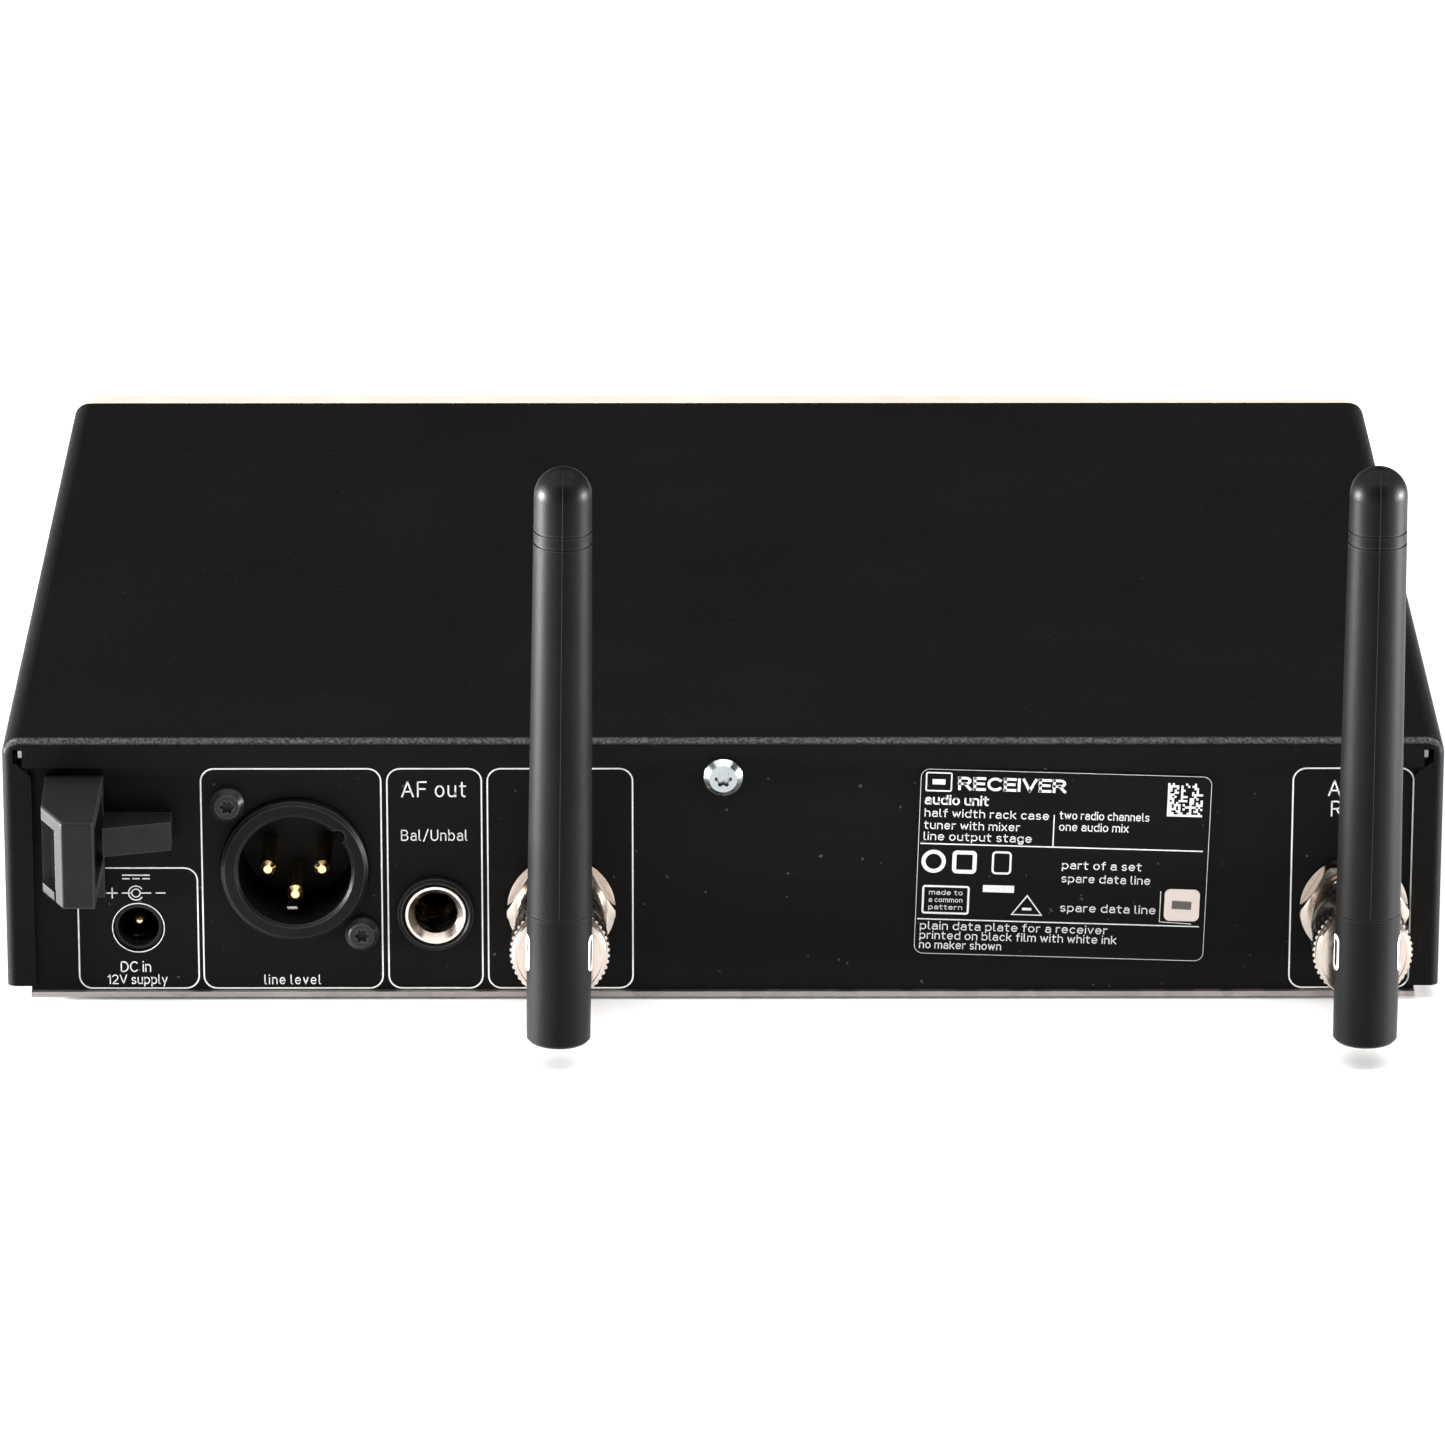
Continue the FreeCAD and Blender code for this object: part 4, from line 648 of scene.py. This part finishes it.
# ------------------------------------------------------------------ aerial details
def rod_profile(z, seam, top, r_low, r_top):
    """Radius of the tapered rod at height z: straight taper, then a quarter-round dome."""
    dome = top - r_top
    straight = r_low + (r_top - r_low) * np.clip((z - seam) / (dome - seam), 0, 1)
    round_off = np.sqrt(np.clip(r_top ** 2 - np.clip(z - dome, 0, None) ** 2, 0, None))
    return np.where(z > dome, round_off, straight)


SWIVEL_Z = 13.9


def lean(verts, axis_x, degrees):
    """Turns points about the swivel axis, which runs along Y through (axis_x, SWIVEL_Z)."""
    a = math.radians(degrees)
    x, z = verts[:, 0] - axis_x * MM, verts[:, 2] - SWIVEL_Z * MM
    return np.stack([axis_x * MM + x * math.cos(a) + z * math.sin(a), verts[:, 1],
                     SWIVEL_Z * MM - x * math.sin(a) + z * math.cos(a)], 1)


AERIALS = (("a", 23.9, -0.75), ("b", -93.2, 0.0))    # tag, swivel axis x in mm, lean at rest in degrees
SLEEVE_SURFACE, MARK_SURFACE = 4.77, 4.80            # radii, mm
for tag, axis_x, degrees in AERIALS:
    axis_y = REAR / MM + 26
    seam, top = 23.3, 90.5
    # Parting line of the mould: a half-round rib that follows the rod's profile on its rear side.
    z = np.concatenate([np.linspace(seam + 0.1, top - 4.6, 60), np.linspace(top - 4.5, top - 0.4, 14)])
    radius = rod_profile(z, seam, top, 4.7, 4.15)
    turn = np.radians([-90, -45, 0, 45, 90])[None, :]
    rib_x = axis_x + 0.055 * np.sin(turn) + 0 * z[:, None]
    rib_y = axis_y + radius[:, None] - 0.02 + 0.05 * np.cos(turn)
    verts = np.stack([rib_x, rib_y, z[:, None] + 0 * rib_x], -1).reshape(-1, 3) * MM
    rib = lean(verts, axis_x, degrees), skin(len(z), 5, False)
    piece("aerial_%s_mould_line" % tag, [rib], aerial_skin, "antenna_%s" % tag)
    # Plain outlined marks wrapped round the sleeve's two sides.
    wraps = []
    for middle in (14.0, 166.0):
        flat = rounded(-1.1, 1.1, 14.6, 20.0, 0.9, 6)
        angle = math.radians(middle) + flat[:, 0] / 4.75
        inner = np.stack([flat[:, 0] * 0.5, 17.3 + (flat[:, 1] - 17.3) * 0.78], 1)
        angle_in = math.radians(middle) + inner[:, 0] / 4.75
        rings = []
        for r, ang, height in ((SLEEVE_SURFACE, angle, flat[:, 1]), (MARK_SURFACE, angle, flat[:, 1]),
                               (MARK_SURFACE, angle_in, inner[:, 1]),
                               (SLEEVE_SURFACE, angle_in, inner[:, 1])):
            rings.append(np.stack([axis_x + r * np.cos(ang), axis_y + r * np.sin(ang), height], 1))
        verts = np.stack(rings, 1).reshape(-1, 3) * MM
        wraps.append((lean(verts, axis_x, degrees), skin(len(flat), 4, True)))
    piece("aerial_%s_mark" % tag, wraps, ink, "antenna_%s" % tag)

# ------------------------------------------------------------------ stage
floor_mat, floor_tree, floor_bsdf = shader("studio_floor", (0.93, 0.93, 0.93), 0.9, specular=0.1)
bpy.ops.mesh.primitive_plane_add(size=12, location=(0, 0, -0.0005))
floor = bpy.context.object
floor.name = "studio_floor"
floor.data.materials.append(floor_mat)

bpy.context.scene.view_settings.view_transform = "Standard"
world = bpy.data.worlds.new("studio")
bpy.context.scene.world = world
world.use_nodes = True
world.node_tree.nodes["Background"].inputs["Color"].default_value = (1, 0.99, 0.98, 1)
world.node_tree.nodes["Background"].inputs["Strength"].default_value = 0.10


def softbox(name, where, aim, size, power):
    """A flat rectangular light aimed at a point."""
    lamp = bpy.data.lights.new(name, "AREA")
    lamp.shape = "RECTANGLE"
    lamp.size, lamp.size_y = size
    lamp.energy = power
    obj = bpy.data.objects.new(name, lamp)
    bpy.context.collection.objects.link(obj)
    obj.location = where
    obj.rotation_mode = "QUATERNION"
    obj.rotation_quaternion = (Vector(aim) - Vector(where)).to_track_quat("-Z", "Y")
    return obj


softbox("overhead", (0, -0.15, 1.6), (0, -0.15, 0), (2.4, 2.2), 33)
softbox("bend_strip", (0, 0.62, 1.1), (0, 0.07, 0.04), (1.6, 0.14), 8)
softbox("side_left", (0.85, 0.06, 0.055), (0.02, 0.10, 0.055), (0.3, 0.07), 70)
softbox("side_right", (-0.85, 0.08, 0.055), (-0.06, 0.10, 0.055), (0.3, 0.07), 36)

# ------------------------------------------------------------------ camera
cam_data = bpy.data.cameras.new("camera")
cam_data.sensor_width = 36
cam_data.lens = 223.36
cam_data.clip_start, cam_data.clip_end = 0.05, 30
camera = bpy.data.objects.new("camera", cam_data)
bpy.context.collection.objects.link(camera)
yaw, pitch, roll = (math.radians(v) for v in (-0.2403, 19.0792, -0.0435))
forward = Vector((math.sin(yaw) * math.cos(pitch), -math.cos(yaw) * math.cos(pitch), -math.sin(pitch)))
level = Vector((-math.cos(yaw), -math.sin(yaw), 0))
down = forward.cross(level)
right = math.cos(roll) * level + math.sin(roll) * down
down = -math.sin(roll) * level + math.cos(roll) * down
camera.matrix_world = Matrix((
    (right.x, -down.x, -forward.x, 0.005332), (right.y, -down.y, -forward.y, 1.2426 + REAR),
    (right.z, -down.z, -forward.z, 0.4729), (0, 0, 0, 1)))
bpy.context.scene.camera = camera
